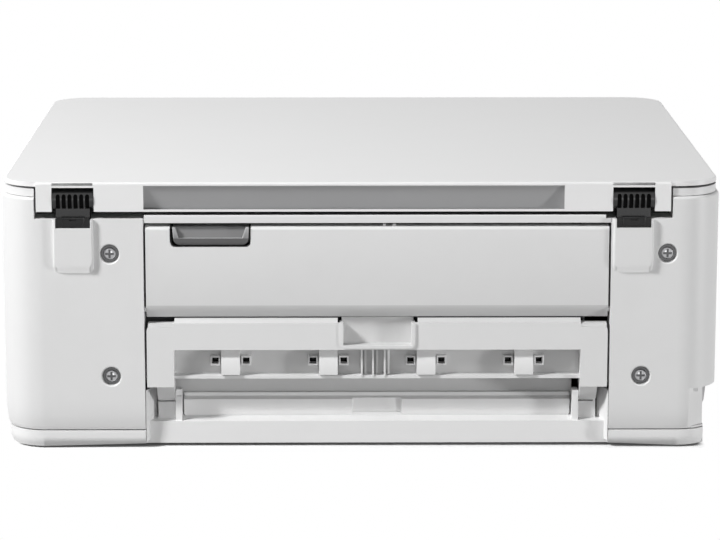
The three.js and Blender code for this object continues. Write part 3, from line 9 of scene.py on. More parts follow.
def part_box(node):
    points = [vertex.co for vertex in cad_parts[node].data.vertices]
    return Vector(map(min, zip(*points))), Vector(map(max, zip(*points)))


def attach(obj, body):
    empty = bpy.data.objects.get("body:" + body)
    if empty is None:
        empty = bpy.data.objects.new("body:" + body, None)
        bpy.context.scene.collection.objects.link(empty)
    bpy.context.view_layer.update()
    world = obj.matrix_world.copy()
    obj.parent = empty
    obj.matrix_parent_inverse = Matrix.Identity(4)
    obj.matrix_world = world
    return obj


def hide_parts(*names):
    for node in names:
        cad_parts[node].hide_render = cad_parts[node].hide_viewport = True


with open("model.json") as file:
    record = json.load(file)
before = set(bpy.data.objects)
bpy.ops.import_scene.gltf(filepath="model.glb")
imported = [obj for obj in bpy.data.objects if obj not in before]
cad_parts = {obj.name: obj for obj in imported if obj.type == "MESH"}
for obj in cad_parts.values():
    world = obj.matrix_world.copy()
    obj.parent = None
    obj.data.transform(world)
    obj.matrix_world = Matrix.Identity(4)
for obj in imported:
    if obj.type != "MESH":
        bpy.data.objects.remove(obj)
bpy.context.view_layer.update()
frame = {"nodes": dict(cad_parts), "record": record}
nodes = frame["nodes"]
mm = 0.001
print("frame loaded:", len(nodes), "nodes")


# Camera and light

cameraSetup = {
    "place": (0.0119469, 1.8046253, 0.4260037), "yaw": -0.007, "pitch": 0.19563, "sensor": 36.0,
    "lens": 150.82, "clip": (0.05, 50.0),
}


def makeCamera(setup):
    data = bpy.data.cameras.new("rearCamera")
    data.sensor_width = setup["sensor"]
    data.lens = setup["lens"]
    data.clip_start, data.clip_end = setup["clip"]
    camera = bpy.data.objects.new("rearCamera", data)
    flat = math.cos(setup["pitch"])
    yaw, pitch = setup["yaw"], setup["pitch"]
    look = Vector((math.sin(yaw) * flat, -math.cos(yaw) * flat, -math.sin(pitch)))
    camera.rotation_euler = look.to_track_quat("-Z", "Y").to_euler()
    camera.location = setup["place"]
    bpy.context.scene.collection.objects.link(camera)
    bpy.context.scene.camera = camera


makeCamera(cameraSetup)
bpy.context.scene.view_settings.view_transform = "Standard"

lampAim = (0, 0, 0.08)
lampSetup = {
    # name: place, size, power; all are plain white
    "keySoftbox": ((1.58, 0.94, 1.48), 0.34, 59.0),
    "fillSoftbox": ((-0.1, 2.25, 0.14), 1.1, 9.0),
    "sideSoftbox": ((-1.8, 0.85, 0.10), 0.18, 16.0),
    "frontSoftbox": ((0.9, -1.9, 0.08), 0.14, 15.0),
}


def makeLamp(name, place, size, power):
    data = bpy.data.lights.new(name, "AREA")
    data.shape = "SQUARE"
    data.size = size
    data.energy = power
    lamp = bpy.data.objects.new(name, data)
    lamp.location = place
    lamp.rotation_euler = (Vector(lampAim) - Vector(place)).to_track_quat("-Z", "Y").to_euler()
    bpy.context.scene.collection.objects.link(lamp)


for lampName, values in lampSetup.items():
    makeLamp(lampName, *values)


# Shader maths: a Link is a socket, and sums and products of Links add Math nodes

class Link:
    def __init__(self, shader, socket):
        self.shader = shader
        self.socket = socket

    def maths(self, operation, first, second):
        return self.shader.add("ShaderNodeMath", {"operation": operation}, {0: first, 1: second})

    def __add__(self, other):
        return self.maths("ADD", self, other)

    def __radd__(self, other):
        return self.maths("ADD", other, self)

    def __sub__(self, other):
        return self.maths("SUBTRACT", self, other)

    def __rsub__(self, other):
        return self.maths("SUBTRACT", other, self)

    def __mul__(self, other):
        return self.maths("MULTIPLY", self, other)

    def __rmul__(self, other):
        return self.maths("MULTIPLY", other, self)

    def atMost(self, other):
        return self.maths("MINIMUM", self, other)


# The nodes of a new material, or of a world that is given
class Shader:
    def __init__(self, name, holder=None):
        self.holder = holder or bpy.data.materials.new(name)
        self.holder.use_nodes = True
        self.tree = self.holder.node_tree
        self.surface = self.tree.nodes.get("Principled BSDF")

    def add(self, kind, settings=None, inputs=None, output=0):
        node = self.tree.nodes.new(kind)
        for key, value in (settings or {}).items():
            setattr(node, key, value)
        for key, value in (inputs or {}).items():
            self.feed(node.inputs[key], value)
        return Link(self, node.outputs[output])

    def feed(self, socket, value):
        if isinstance(value, Link):
            self.tree.links.new(value.socket, socket)
        elif socket.type == "RGBA" and len(value) == 3:
            socket.default_value = (*value, 1)
        else:
            socket.default_value = value

    def place(self, scale=(1, 1, 1), turn=(0, 0, 0)):
        spot = self.add("ShaderNodeTexCoord", output="Object")
        return self.add("ShaderNodeMapping", {}, {"Vector": spot, "Scale": scale, "Rotation": turn})

    def noise(self, scale, detail=2.0, roughness=0.5, where=None):
        where = where or self.place()
        settings = {"Vector": where, "Scale": scale, "Detail": detail, "Roughness": roughness}
        return self.add("ShaderNodeTexNoise", {}, settings)

    def cells(self, feature, scale, where):
        settings = {"Vector": where, "Scale": scale}
        return self.add("ShaderNodeTexVoronoi", {"feature": feature}, settings, "Distance")

    def ramp(self, factor, stops):
        made = self.add("ShaderNodeValToRGB", {}, {"Fac": factor})
        for element, (place, shade) in zip(made.socket.node.color_ramp.elements, stops):
            element.position = place
            element.color = (shade, shade, shade, 1)
        return made

    def mix(self, factor, first, second):
        return self.add("ShaderNodeMix", {"data_type": "RGBA"}, {0: factor, 6: first, 7: second}, 2)

    def vectors(self, operation, *values, output=0):
        return self.add("ShaderNodeVectorMath", {"operation": operation}, dict(enumerate(values)), output)

    def bump(self, height, strength, distance):
        inputs = {"Height": height, "Strength": strength, "Distance": distance}
        return self.add("ShaderNodeBump", {}, inputs)

    def finish(self, **values):
        for key, value in values.items():
            self.feed(self.surface.inputs[key.replace("_", " ")], value)
        return self.holder


def scaled(colour, amount):
    return tuple(min(part * amount, 1.0) for part in colour)


# Floor and world: both look white to the camera, and the floor keeps the shadow round the foot

floorSetup = {
    "size": 9.0, "seen": (0.90, 0.90, 0.90), "bounce": (0.26, 0.26, 0.26),
    "footprint": (0.189, 0.1645, 0.0), "fadeFrom": 0.0, "fadeTo": 0.005, "worldLight": 0.13,
}


def lightPaths(shader):
    paths = shader.tree.nodes.new("ShaderNodeLightPath")
    names = ("Is Camera Ray", "Is Glossy Ray", "Is Transmission Ray")
    camera, glossy, through = (Link(shader, paths.outputs[name]) for name in names)
    return camera, (camera + glossy + through).atMost(1.0)


def makeFloor(setup):
    bm = bmesh.new()
    bmesh.ops.create_grid(bm, x_segments=1, y_segments=1, size=setup["size"] / 2)
    mesh = bpy.data.meshes.new("studioFloor")
    bm.to_mesh(mesh)
    bm.free()
    floor = bpy.data.objects.new("studioFloor", mesh)
    bpy.context.scene.collection.objects.link(floor)
    shader = Shader("floorPaper")
    fromCamera, fromSight = lightPaths(shader)
    grain = shader.noise(3.0)
    seen = shader.mix(grain, setup["seen"], scaled(setup["seen"], 1.01))
    shade = shader.mix(fromCamera, setup["bounce"], seen)
    away = shader.vectors("ABSOLUTE", shader.add("ShaderNodeTexCoord", output="Object"))
    beside = shader.vectors("MAXIMUM", shader.vectors("SUBTRACT", away, setup["footprint"]), (0, 0, 0))
    reach = shader.vectors("LENGTH", beside, output="Value")
    span = {"Value": reach, "From Min": setup["fadeFrom"], "From Max": setup["fadeTo"]}
    fade = shader.add("ShaderNodeMapRange", {"interpolation_type": "SMOOTHSTEP"}, span)
    light = shader.add("ShaderNodeEmission", {}, {"Strength": 1.0})
    paper = shader.add("ShaderNodeBsdfDiffuse", {}, {"Color": shade})
    both = shader.add("ShaderNodeMixShader", {}, {0: fade * fromSight, 1: paper, 2: light})
    shader.feed(shader.tree.nodes["Material Output"].inputs["Surface"], both)
    mesh.materials.append(shader.holder)


def makeWorld(setup):
    world = bpy.data.worlds.new("studioWorld")
    shader = Shader("studioWorld", world)
    fromSight = lightPaths(shader)[1]
    background = shader.tree.nodes["Background"]
    background.inputs["Color"].default_value = (1, 1, 1, 1)
    shader.feed(background.inputs["Strength"], fromSight * (1 - setup["worldLight"]) + setup["worldLight"])
    bpy.context.scene.world = world


makeFloor(floorSetup)
makeWorld(floorSetup)
print("camera, lamps, floor and world made")


# Finishes

plasticSetup = {
    # name: colour, roughness, grain strength, cloud of colour, cloud of gloss, specular level
    "shellPlastic": ((0.735, 0.735, 0.735), 0.46, 0.22, 0.02, 0.06),
    # the lid's own white; also painted light, a lighter copy, on the base pan, the lower guide and the flap's
    # hole frames
    "lidPlastic": ((0.80, 0.80, 0.80), 0.42, 0.2, 0.015, 0.06),
    # the inner parts' own grey; also painted shade on the rear cover's leaning foot and the flap's panel,
    # scoop and top strip
    "innerPlastic": ((0.60, 0.60, 0.60), 0.5, 0.15, 0.03, 0.08),
    # painted shade: black fill in the flap's holes and the latch's well, where there is only shade
    "paintedShadeBlack": ((0.0075, 0.0075, 0.0078), 0.27, 0.12, 0.2, 0.08, 0.4),
    "hingePlastic": ((0.0045, 0.0045, 0.0047), 0.3, 0.1, 0.2, 0.06, 0.3),
    # painted shade: the lid's trough, darker to stand in for the shade under the lid's overhang
    "channelPaintedShade": ((0.40, 0.40, 0.405), 0.46, 0.2, 0.03, 0.06),
    # painted highlight: the rim lines of the latch
    "latchRimPaintedHighlight": ((0.42, 0.42, 0.425), 0.40, 0.2, 0.03, 0.06),
    # painted highlight: the hinge ribs' fronts, lighter and glossier than the barrel
    "ribPaintedHighlight": ((0.012, 0.012, 0.0125), 0.26, 0.1, 0.1, 0.06, 0.5),
    # painted shade: the floors of the hinge flutes
    "flutePaintedShade": ((0.0012, 0.0012, 0.0013), 0.6, 0.1, 0.1, 0.06, 0.1),
    "greyPlastic": ((0.165, 0.165, 0.167), 0.42, 0.2, 0.03, 0.06),
    "darkPlastic": ((0.030, 0.031, 0.033), 0.5, 0.3, 0.12, 0.08),
    "socketPlastic": ((0.020, 0.020, 0.021), 0.45, 0.2, 0.12, 0.08),
    "buttonPlastic": ((0.30, 0.30, 0.305), 0.4, 0.15, 0.03, 0.05),
    "gearNylon": ((0.66, 0.65, 0.61), 0.42, 0.1, 0.04, 0.08),
}


# Moulded plastic: a spark-eroded grain, with slow clouds in colour and gloss
def mouldedPlastic(name, colour, roughness, grain, colourCloud, glossCloud, sheen=0.5):
    shader = Shader(name)
    shader.surface.inputs["Specular IOR Level"].default_value = sheen
    where = shader.place()
    slow = shader.noise(9.0, 3.0, 0.55, where)
    middle = shader.noise(70.0, 3.0, 0.6, where)
    cloud = (slow * 0.65 + middle * 0.35) * 2 - 0.5
    base = shader.mix(cloud, scaled(colour, 1 - colourCloud), scaled(colour, 1 + colourCloud))
    pits = shader.cells("F1", 1700.0, where)
    fine = shader.noise(2600.0, 2.0, 0.5, where)
    height = pits * 0.6 + fine * 0.4
    normal = shader.bump(height, grain, 0.00006)
    gloss = roughness + (middle - 0.5) * glossCloud + (slow - 0.5) * glossCloud
    return shader.finish(Base_Color=base, Roughness=gloss, Normal=normal, IOR=1.49)


finishes = {name: mouldedPlastic(name, *values) for name, values in plasticSetup.items()}

inkSetup = {
    "inkBlack": (0.012, 0.012, 0.012),
    "inkCyan": (0.01, 0.22, 0.42),
    "inkMagenta": (0.40, 0.02, 0.16),
    "inkYellow": (0.66, 0.50, 0.02),
}
for inkName, inkColour in inkSetup.items():
    finishes[inkName] = mouldedPlastic(inkName, inkColour, 0.4, 0.12, 0.04, 0.05)


# Sheet steel: fine rolling lines along the sheet, with a clouded plating
def platedSteel(name, colour, roughness, along, lines, depth):
    shader = Shader(name)
    stretch = {"x": (0.02, 1, 1), "y": (1, 0.02, 1)}[along]
    where = shader.place(scale=stretch)
    brush = shader.noise(lines, 3.0, 0.6, where)
    cloud = shader.noise(40.0, 3.0, 0.6)
    base = shader.mix(cloud * 0.6 + brush * 0.4, scaled(colour, 0.9), scaled(colour, 1.08))
    gloss = roughness + (cloud - 0.5) * 0.14 + (brush - 0.5) * 0.1
    normal = shader.bump(brush, depth, 0.00004)
    return shader.finish(Base_Color=base, Roughness=gloss, Normal=normal, Metallic=1.0)


steelSetup = {
    # name: colour, roughness, direction, scale and depth of the lines
    "sheetSteel": ((0.52, 0.53, 0.54), 0.36, "x", 900.0, 0.12),
    "shaftSteel": ((0.50, 0.51, 0.52), 0.3, "x", 1400.0, 0.2),
    # painted shade: the darker copy on the screws' flange and cross-recess floor
    "screwSteelPaintedShade": ((0.11, 0.11, 0.112), 0.34, "y", 700.0, 0.08),
    "screwHead": ((0.42, 0.42, 0.43), 0.22, "y", 700.0, 0.1),
    "goldContact": ((0.72, 0.55, 0.26), 0.3, "y", 900.0, 0.08),
}
for steelName, steelValues in steelSetup.items():
    finishes[steelName] = platedSteel(steelName, *steelValues)


def softRubber(name, colour, roughness, tooth):
    shader = Shader(name)
    where = shader.place()
    fine = shader.noise(1500.0, 3.0, 0.6, where)
    cloud = shader.noise(45.0, 3.0, 0.6, where)
    base = shader.mix(cloud, scaled(colour, 0.82), scaled(colour, 1.2))
    normal = shader.bump(fine, tooth, 0.0001)
    return shader.finish(Base_Color=base, Roughness=roughness + (cloud - 0.5) * 0.12, Normal=normal)


finishes["footRubber"] = softRubber("footRubber", (0.035, 0.035, 0.036), 0.8, 0.4)
finishes["rollerRubber"] = softRubber("rollerRubber", (0.05, 0.05, 0.052), 0.72, 0.5)


# The pad: white film pressed on to thin foam, with a faint dimpled face
def filmOnFoam(name, colour):
    shader = Shader(name)
    where = shader.place()
    dimples = shader.cells("SMOOTH_F1", 420.0, where)
    slow = shader.noise(12.0, 3.0, 0.5, where)
    base = shader.mix(slow, scaled(colour, 0.97), scaled(colour, 1.01))
    edge = shader.noise(900.0, 2.0, 0.5, where)
    normal = shader.bump(dimples * 0.7 + edge * 0.3, 0.25, 0.00012)
    return shader.finish(Base_Color=base, Roughness=0.62 + (slow - 0.5) * 0.1, Normal=normal)


finishes["padFoam"] = filmOnFoam("padFoam", (0.86, 0.86, 0.85))


# Clear pane with the faint green of float glass
def clearPane(name):
    shader = Shader(name)
    smear = shader.noise(14.0, 4.0, 0.65)
    gloss = shader.ramp(smear, [(0.45, 0.02), (0.75, 0.07)])
    shade = shader.mix(smear, (0.93, 0.97, 0.96), (0.95, 0.985, 0.975))
    shader.surface.inputs["Transmission Weight"].default_value = 1.0
    shader.surface.inputs["IOR"].default_value = 1.5
    return shader.finish(Base_Color=shade, Roughness=gloss)


finishes["scanGlass"] = clearPane("scanGlass")


# The display's dark face under a thin clear coat
def displayFace(name):
    shader = Shader(name)
    smear = shader.noise(30.0, 4.0, 0.6)
    shade = shader.mix(smear, (0.006, 0.0065, 0.008), (0.010, 0.011, 0.013))
    gloss = shader.ramp(smear, [(0.4, 0.06), (0.8, 0.16)])
    shader.surface.inputs["Coat Weight"].default_value = 0.6
    shader.surface.inputs["Coat Roughness"].default_value = 0.05
    return shader.finish(Base_Color=shade, Roughness=gloss)


finishes["displayFace"] = displayFace("displayFace")


# Circuit board: green mask over a weave of tracks
def circuitBoard(name):
    shader = Shader(name)
    where = shader.place()
    upright = shader.place(turn=(0, math.radians(90), 0))
    bricks = {"Vector": upright, "Scale": 120.0, "Mortar Size": 0.03, "Mortar": (0.020, 0.105, 0.045),
              "Color1": (0.030, 0.150, 0.065), "Color2": (0.038, 0.175, 0.078)}
    rows = shader.add("ShaderNodeTexBrick", {"offset": 0.35, "squash": 1.6}, bricks, "Color")
    cloud = shader.noise(60.0, 3.0, 0.6, where)
    base = shader.mix(cloud * 0.4, rows, (0.022, 0.12, 0.05))
    normal = shader.bump(shader.noise(600.0, 2.0, 0.5, where), 0.1, 0.00005)
    return shader.finish(Base_Color=base, Roughness=0.4 + (cloud - 0.5) * 0.1, Normal=normal)


finishes["circuitBoard"] = circuitBoard("circuitBoard")
print("finishes made:", len(finishes))


# Pieces

bodyOf = {node: body for body, members in frame["record"]["behaviour"]["bodies"].items() for node in members}


def addPiece(name, bm, finish, body, stands=(), smooth=46):
    if smooth:
        smoothFaces(bm, smooth)
    mesh = bpy.data.meshes.new(name)
    bm.to_mesh(mesh)
    bm.free()
    mesh.materials.append(finishes[finish])
    piece = bpy.data.objects.new(name, mesh)
    bpy.context.scene.collection.objects.link(piece)
    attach(piece, body)
    if stands:
        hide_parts(*stands)
    return piece


def faceOut(bm):
    bmesh.ops.recalc_face_normals(bm, faces=bm.faces)


def flatten(bm):
    bmesh.ops.dissolve_limit(bm, angle_limit=math.radians(0.4), verts=bm.verts, edges=bm.edges)


sharpTurn = math.radians(38)


# Rounds the outer edges; test picks them by their place, and along by their direction
def roundEdges(bm, width, segments=2, longer=1.0, test=None, along=None):
    picked = []
    for edge in bm.edges:
        if len(edge.link_faces) != 2 or edge.calc_length() < longer * mm:
            continue
        if edge.calc_face_angle_signed() < sharpTurn:
            continue
        if test and not all(test(vert.co) for vert in edge.verts):
            continue
        run = edge.verts[1].co - edge.verts[0].co
        if along and abs(run["xyz".index(along)]) < run.length * 0.99:
            continue
        picked.append(edge)
    bmesh.ops.bevel(bm, geom=picked, offset=width * mm, offset_type="OFFSET", affect="EDGES",
                    segments=segments, profile=0.5, material=-1, clamp_overlap=test is None, loop_slide=True)


def isInside(point, low, high):
    return all(low[i] * mm <= point[i] <= high[i] * mm for i in range(3))


def within(low, high):
    return lambda point: isInside(point, low, high)


# The outer rim of a hinge pocket, without the window for its hinge
def pocketRim(middle):
    half, face, foot = (pocketSetup[key] for key in ("half", "face", "windowFoot"))

    def test(point):
        x, y, z = (part / mm for part in point)
        return y > face - 0.1 and abs(x - middle) < half + 1 and (abs(x - middle) > half - 0.2 or z < foot)
    return test


# Smooth faces, with sharp edges where they turn by more than the angle in degrees
def smoothFaces(bm, angle):
    for face in bm.faces:
        face.smooth = True
    for edge in bm.edges:
        edge.smooth = len(edge.link_faces) == 2 and edge.calc_face_angle() < math.radians(angle)


def weighNormals(piece):
    weighted = piece.modifiers.new("faceWeights", "WEIGHTED_NORMAL")
    weighted.keep_sharp = True
    weighted.weight = 80
    return piece


# A fuller copy of a CAD node: welded, with its outer edges rounded
def dressNode(node, finish, width=0.4, segments=2, longer=1.0, shape=None, paint=(), cuts=()):
    bm = bmesh.new()
    bm.from_mesh(nodes[node].data)
    bmesh.ops.remove_doubles(bm, verts=bm.verts, dist=0.004 * mm)
    flatten(bm)
    if shape:
        bm = shape(bm)
    for wide, steps, along, test in edgeSetup.get(node, ()):
        roundEdges(bm, wide, steps, longer=0.4, test=test, along=along)
    roundEdges(bm, width, segments, longer=longer)
    for low, high in cuts:
        bm = carve(bm, block(low, high))
    piece = addPiece(node + "Skin", bm, finish, bodyOf[node], [node])
    paintZones(piece, paint)
    return weighNormals(piece)


# Another finish for the faces whose middle lies in a zone; a later zone wins
def paintZones(piece, zones):
    for index, (finish, low, high) in enumerate(zones, 1):
        piece.data.materials.append(finishes[finish])
        for face in piece.data.polygons:
            if isInside(face.center, low, high):
                face.material_index = index


def carve(bm, cutter, operation="DIFFERENCE"):
    made = []
    for shape in (bm, cutter):
        mesh = bpy.data.meshes.new("carving")
        shape.to_mesh(mesh)
        shape.free()
        made.append(bpy.data.objects.new("carving", mesh))
        bpy.context.scene.collection.objects.link(made[-1])
    modifier = made[0].modifiers.new("carving", "BOOLEAN")
    modifier.operation = operation
    modifier.solver = "EXACT"
    modifier.object = made[1]
    result = bmesh.new()
    result.from_object(made[0], bpy.context.evaluated_depsgraph_get())
    for shape in made:
        mesh = shape.data
        bpy.data.objects.remove(shape)
        bpy.data.meshes.remove(mesh)
    return result


# A box, in a mesh of its own unless one is given
def makeBox(low, high, bm=None):
    bm = bm or bmesh.new()
    made = bmesh.ops.create_cube(bm, size=1)["verts"]
    bmesh.ops.scale(bm, vec=[high[i] - low[i] for i in range(3)], verts=made)
    bmesh.ops.translate(bm, vec=[(high[i] + low[i]) / 2 for i in range(3)], verts=made)
    return bm


# The same with its corners in mm
def block(low, high, bm=None):
    return makeBox([part * mm for part in low], [part * mm for part in high], bm)


# Pushes a face out into a solid
def extrude(bm, face, away):
    pushed = bmesh.ops.extrude_face_region(bm, geom=[face])["geom"]
    bmesh.ops.translate(bm, vec=away, verts=[part for part in pushed if isinstance(part, bmesh.types.BMVert)])
    faceOut(bm)


# A drawn outline pushed along one axis; places are in mm
def prism(outline, along, low, high):
    bm = bmesh.new()
    axis = "xyz".index(along)
    points = []
    for spot in outline:
        place = list(spot)
        place.insert(axis, low)
        points.append(bm.verts.new([part * mm for part in place]))
    away = [0, 0, 0]
    away[axis] = (high - low) * mm
    extrude(bm, bm.faces.new(points), away)
    return bm


# A profile turned all the way round an axis through the centre
def turnProfile(profile, centre, axis, turns):
    bm = bmesh.new()
    points = [bm.verts.new(spot) for spot in profile]
    edges = [bm.edges.new(pair) for pair in zip(points, points[1:])]
    bmesh.ops.spin(bm, geom=points + edges, cent=centre, axis=axis, angle=math.tau, steps=turns,
                   use_merge=True)
    bmesh.ops.remove_doubles(bm, verts=bm.verts, dist=0.01 * mm)
    faceOut(bm)
    return bm


def unite(bm, *others):
    for other in others:
        bm = carve(bm, other, "UNION")
    return bm


# Shell: the outer covers follow the CAD's shape with moulded edges, and some get fuller forms

hingeMiddles = {"right": 158.7, "left": -150.6}
pocketSetup = {
    "half": 11.1, "face": 170.45, "windowFoot": 107.0, "footReach": 0.5,
    "screwHeights": ((104, 118), (35, 48)),
}


# Edges of a side cover: the pocket's foot corners, its rim and the two screw recesses
def sideEdges(middle, *screwRuns):
    half, reach = pocketSetup["half"], pocketSetup["footReach"]
    corners = [(2.4, 4, None, within((x - reach, 167.5, 100), (x + reach, 172, 106)))
               for x in (middle - half, middle + half)]
    recesses = [(0.8, 3, None, within((left, 167.9, foot), (right, 168.1, top)))
                for (left, right), (foot, top) in zip(screwRuns, pocketSetup["screwHeights"])]
    return corners + [(1.2, 3, None, pocketRim(middle))] + recesses


edgeSetup = {
    # node: width, segments, direction of the edges, test of the place
    "side_cover_right": sideEdges(hingeMiddles["right"], (132.5, 145), (132.5, 145.5)),
    "side_cover_left": sideEdges(hingeMiddles["left"], (-176, -163.5), (-162.5, -149.5)),
    "rear_cover": [
        (2.2, 5, "y", within((117, 150, 125), (119, 169, 127))),
        (2.2, 5, "y", within((-137, 150, 125), (-135, 169, 127))),
        (1.5, 4, "x", within((-137, 167.5, 125.5), (119, 168.5, 127))),
    ],
    "rear_rail": [(0.7, 3, "x", within((-139, 165, 132), (121, 168, 133)))],
    "lower_flap": [
        (2.0, 4, "y", within((117, 160, 69), (119.5, 169, 70))),
        (2.0, 4, "y", within((-138, 160, 69), (-136, 169, 70))),
    ],
}

lidSetup = {
    "trough": (-112.3, 119.8),
    "lipCut": ((161.3, 134.75), (167.1, 136.4)),
    "slope": [(160.6, 149.3), (160.6, 134.7), (162.2, 134.7), (167.3, 149.3)],
    "slopeSpare": 0.3,
    "slots": [((147.6, 163.5, 148.9), (170.2, 170, 150.5)), ((-162.2, 163.5, 148.9), (-138.9, 170, 150.5))],
}


# The trough gets a low lip and a back wall that leans in; its slots are cut after the edges are rounded
def shapeLid(bm):
    low, high = lidSetup["trough"]
    spare = lidSetup["slopeSpare"]
    foot, top = lidSetup["lipCut"]
    bm = carve(bm, block((low, *foot), (high, *top)))
    return unite(bm, prism(lidSetup["slope"], "x", low - spare, high + spare))


baseSetup = {
    "half": (197.8, 168.95), "middle": (0.0, -1.75), "radius": 21.8, "rollTop": 4.9, "rollReach": 4.3,
    "rollShare": 0.65, "footTop": 2.6, "footDrop": 1.4, "sillDrop": 0.7, "sillRun": (-141, 123),
    "sillFrom": 150,
    "cuts": [
        # a seam across each flap bracket, the thin wall beside one, the corner below the inlet's recess
        ((101.6, 153.5, 24.3), (113.6, 160.9, 25.2)),
        ((-130.4, 153.5, 24.3), (-118.4, 160.9, 25.2)),
        ((99.5, 157.6, 28.2), (103.2, 163.5, 37)),
        ((-199.5, 107, -1), (-192.3, 169, 11)),
    ],
    "closingWalls": [((-192.3, 105.5, 1.2), (-190.2, 159.4, 9.9)), ((-196, 105, 1.3), (-190.2, 107, 9.9))],
}


# The pan's side runs nearly straight down to its foot, which comes down lower, least below the sill
def shapeBase(bm):
    setup = baseSetup
    radius, middle, half = (setup[key] for key in ("radius", "middle", "half"))
    for vert in bm.verts:
        x, y, z = (part / mm for part in vert.co)
        belowSill = y > setup["sillFrom"] and setup["sillRun"][0] < x < setup["sillRun"][1]
        if z < setup["footTop"]:
            vert.co.z -= setup["sillDrop" if belowSill else "footDrop"] * mm
        if z > setup["rollTop"] or belowSill:
            continue
        over = [abs(part - centre) - size + radius for part, centre, size in zip((x, y), middle, half)]
        away = Vector([max(part, 0) for part in over])
        gap = radius - away.length
        if away.length and gap < setup["rollReach"]:
            push = away.normalized() * gap * setup["rollShare"] * mm
            vert.co.x += push.x if x > middle[0] else -push.x
            vert.co.y += push.y if y > middle[1] else -push.y
    for low, high in setup["cuts"]:
        bm = carve(bm, block(low, high))
    return unite(bm, *[block(low, high) for low, high in setup["closingWalls"]])


sideSetup = {"rear": 168.0, "proudShare": 0.7, "seam": 0.3}


# The hinge pockets stand a little less proud than their blocks, and a thin seam shows above the base
def shapeSide(bm):
    rear, seam = sideSetup["rear"], sideSetup["seam"] * mm
    foot = min(vert.co.z for vert in bm.verts)
    for vert in bm.verts:
        if vert.co.z < foot + seam:
            vert.co.z += seam
        if vert.co.y > (rear + 0.05) * mm:
            vert.co.y = (rear + (vert.co.y / mm - rear) * sideSetup["proudShare"]) * mm
    return bm


flapSetup = {
    "padWidth": 10.4, "padTop": 50.7, "padFoot": 41.6, "padFace": 165.8,
    "padMiddles": (72.6, 18.1, -36.4, -90.9), "rampTop": 56.2, "rampReach": 4.4, "panelFace": 158.0,
    "panelSink": 0.4, "ribMiddles": (-0.5, -6.8, -13.3), "ribWidth": 1.0, "ribFace": 165.0,
    "ribHeight": (40.6, 56.8),
    "chamfer": [(167.95, 70.6), (167.95, 71.3), (163.5, 73.8), (163.5, 72.7), (165.7, 70.6)],
    "chamferRuns": [(12.9, 103.6), (-122.2, -31.6)],
    "ends": [((-136.6, 160.5, 69.4), (-122.0, 167.8, 71.2)), ((103.4, 160.5, 69.4), (118.2, 167.8, 71.2))],
    "scoop": (-28.3, 9.7), "scoopRim": 1.9, "scoopFoot": 57.3, "scoopSill": 59.0, "scoopTop": 71.6,
    "scoopBack": ((159.6, 70.5), (161.5, 73.7)),
    "rimCorner": [(0, 3.0), (0.4, 1.5), (1.5, 0.4), (3.0, 0)],
    "rimDepth": (167.4, 168.9), "holeSize": 3.6, "holeReach": 8.6, "holeMiddle": 49.0, "holeProud": 4.6,
    "frameReach": 0.9, "frameWidth": 0.85, "wellSpare": 0.05, "wellDepth": (3.2, 1.5),
}


# The flap's pads run up into the panel, its bar has a leaning top strip and the scoop a raised rim
def shapeFlap(bm):
    setup = flapSetup
    half, back = setup["padWidth"] / 2, setup["panelFace"] - setup["panelSink"]
    ramp = [(back, setup["rampTop"]), (back, setup["padFoot"]), (setup["padFace"], setup["padFoot"]),
            (setup["padFace"], setup["padTop"]), (setup["panelFace"] + setup["rampReach"], setup["rampTop"])]
    for middle in setup["padMiddles"]:
        bm = unite(bm, prism(ramp, "x", middle - half, middle + half))
    for low, high in setup["chamferRuns"]:
        bm = unite(bm, prism(setup["chamfer"], "x", low, high))
    bm = unite(bm, *[block(low, high) for low, high in setup["ends"]])
    half, (foot, top) = setup["ribWidth"] / 2, setup["ribHeight"]
    for middle in setup["ribMiddles"]:
        bm = unite(bm, block((middle - half, back, foot), (middle + half, setup["ribFace"], top)))
    low, high = setup["scoop"]
    rim, sill, foot, top = (setup["scoop" + part] for part in ("Rim", "Sill", "Foot", "Top"))
    outline = [(low - rim, top)] + [(low - rim + u, foot + v) for u, v in setup["rimCorner"]]
    outline += [(high + rim - u, foot + v) for u, v in reversed(setup["rimCorner"])] + [(high + rim, top)]
    outline += [(high, top), (high, sill), (low, sill), (low, top)]
    bm = unite(bm, prism(outline, "y", *setup["rimDepth"]))
    foot, top = setup["scoopBack"]
    return unite(bm, block((low - 1, *foot), (high + 1, *top)))


guideFoot = ((-117.3, 147.9, 14.9), (99.1, 152.1, 17.0))
railLip = ((-135.3, 165.6, 129.5), (119.6, 167.4, 132.5))


# The guide's foot comes down onto the sill
def shapeGuide(bm):
    return unite(bm, block(*guideFoot))


# The rail carries a raised lip along its rear edge
def shapeRail(bm):
    return unite(bm, block(*railLip))


coverSetup = {
    "opening": ((60.83, 1), (105.17, -1)), "sill": 114.53, "corner": 2.6, "cornerSteps": 5,
    "cornerSpare": 0.4, "depth": (159.4, 167.9), "nubs": (-13.0, -18.5), "nubHalf": 0.9,
    "nubDepth": (163.2, 165.0), "nubHeight": (125.0, 127.0),
}


# The cover's latch opening has rounded lower corners, and two small catch nubs stand on top
def shapeCover(bm):
    setup = coverSetup
    radius, sill, spare, steps = (setup[key] for key in ("corner", "sill", "cornerSpare", "cornerSteps"))
    for edge, turn in setup["opening"]:
        x, z = edge + turn * radius, sill + radius
        outline = [(edge - turn * spare, sill - spare), (x, sill - spare)]
        for step in range(steps + 1):
            angle = math.radians(90 / steps * step)
            outline.append((x - turn * radius * math.sin(angle), z - radius * math.cos(angle)))
        outline.append((edge - turn * spare, z))
        bm = unite(bm, prism(outline, "y", *setup["depth"]))
    (rear, front), (foot, top) = setup["nubDepth"], setup["nubHeight"]
    for x in setup["nubs"]:
        bm = unite(bm, block((x - setup["nubHalf"], rear, foot), (x + setup["nubHalf"], front, top)))
    return bm


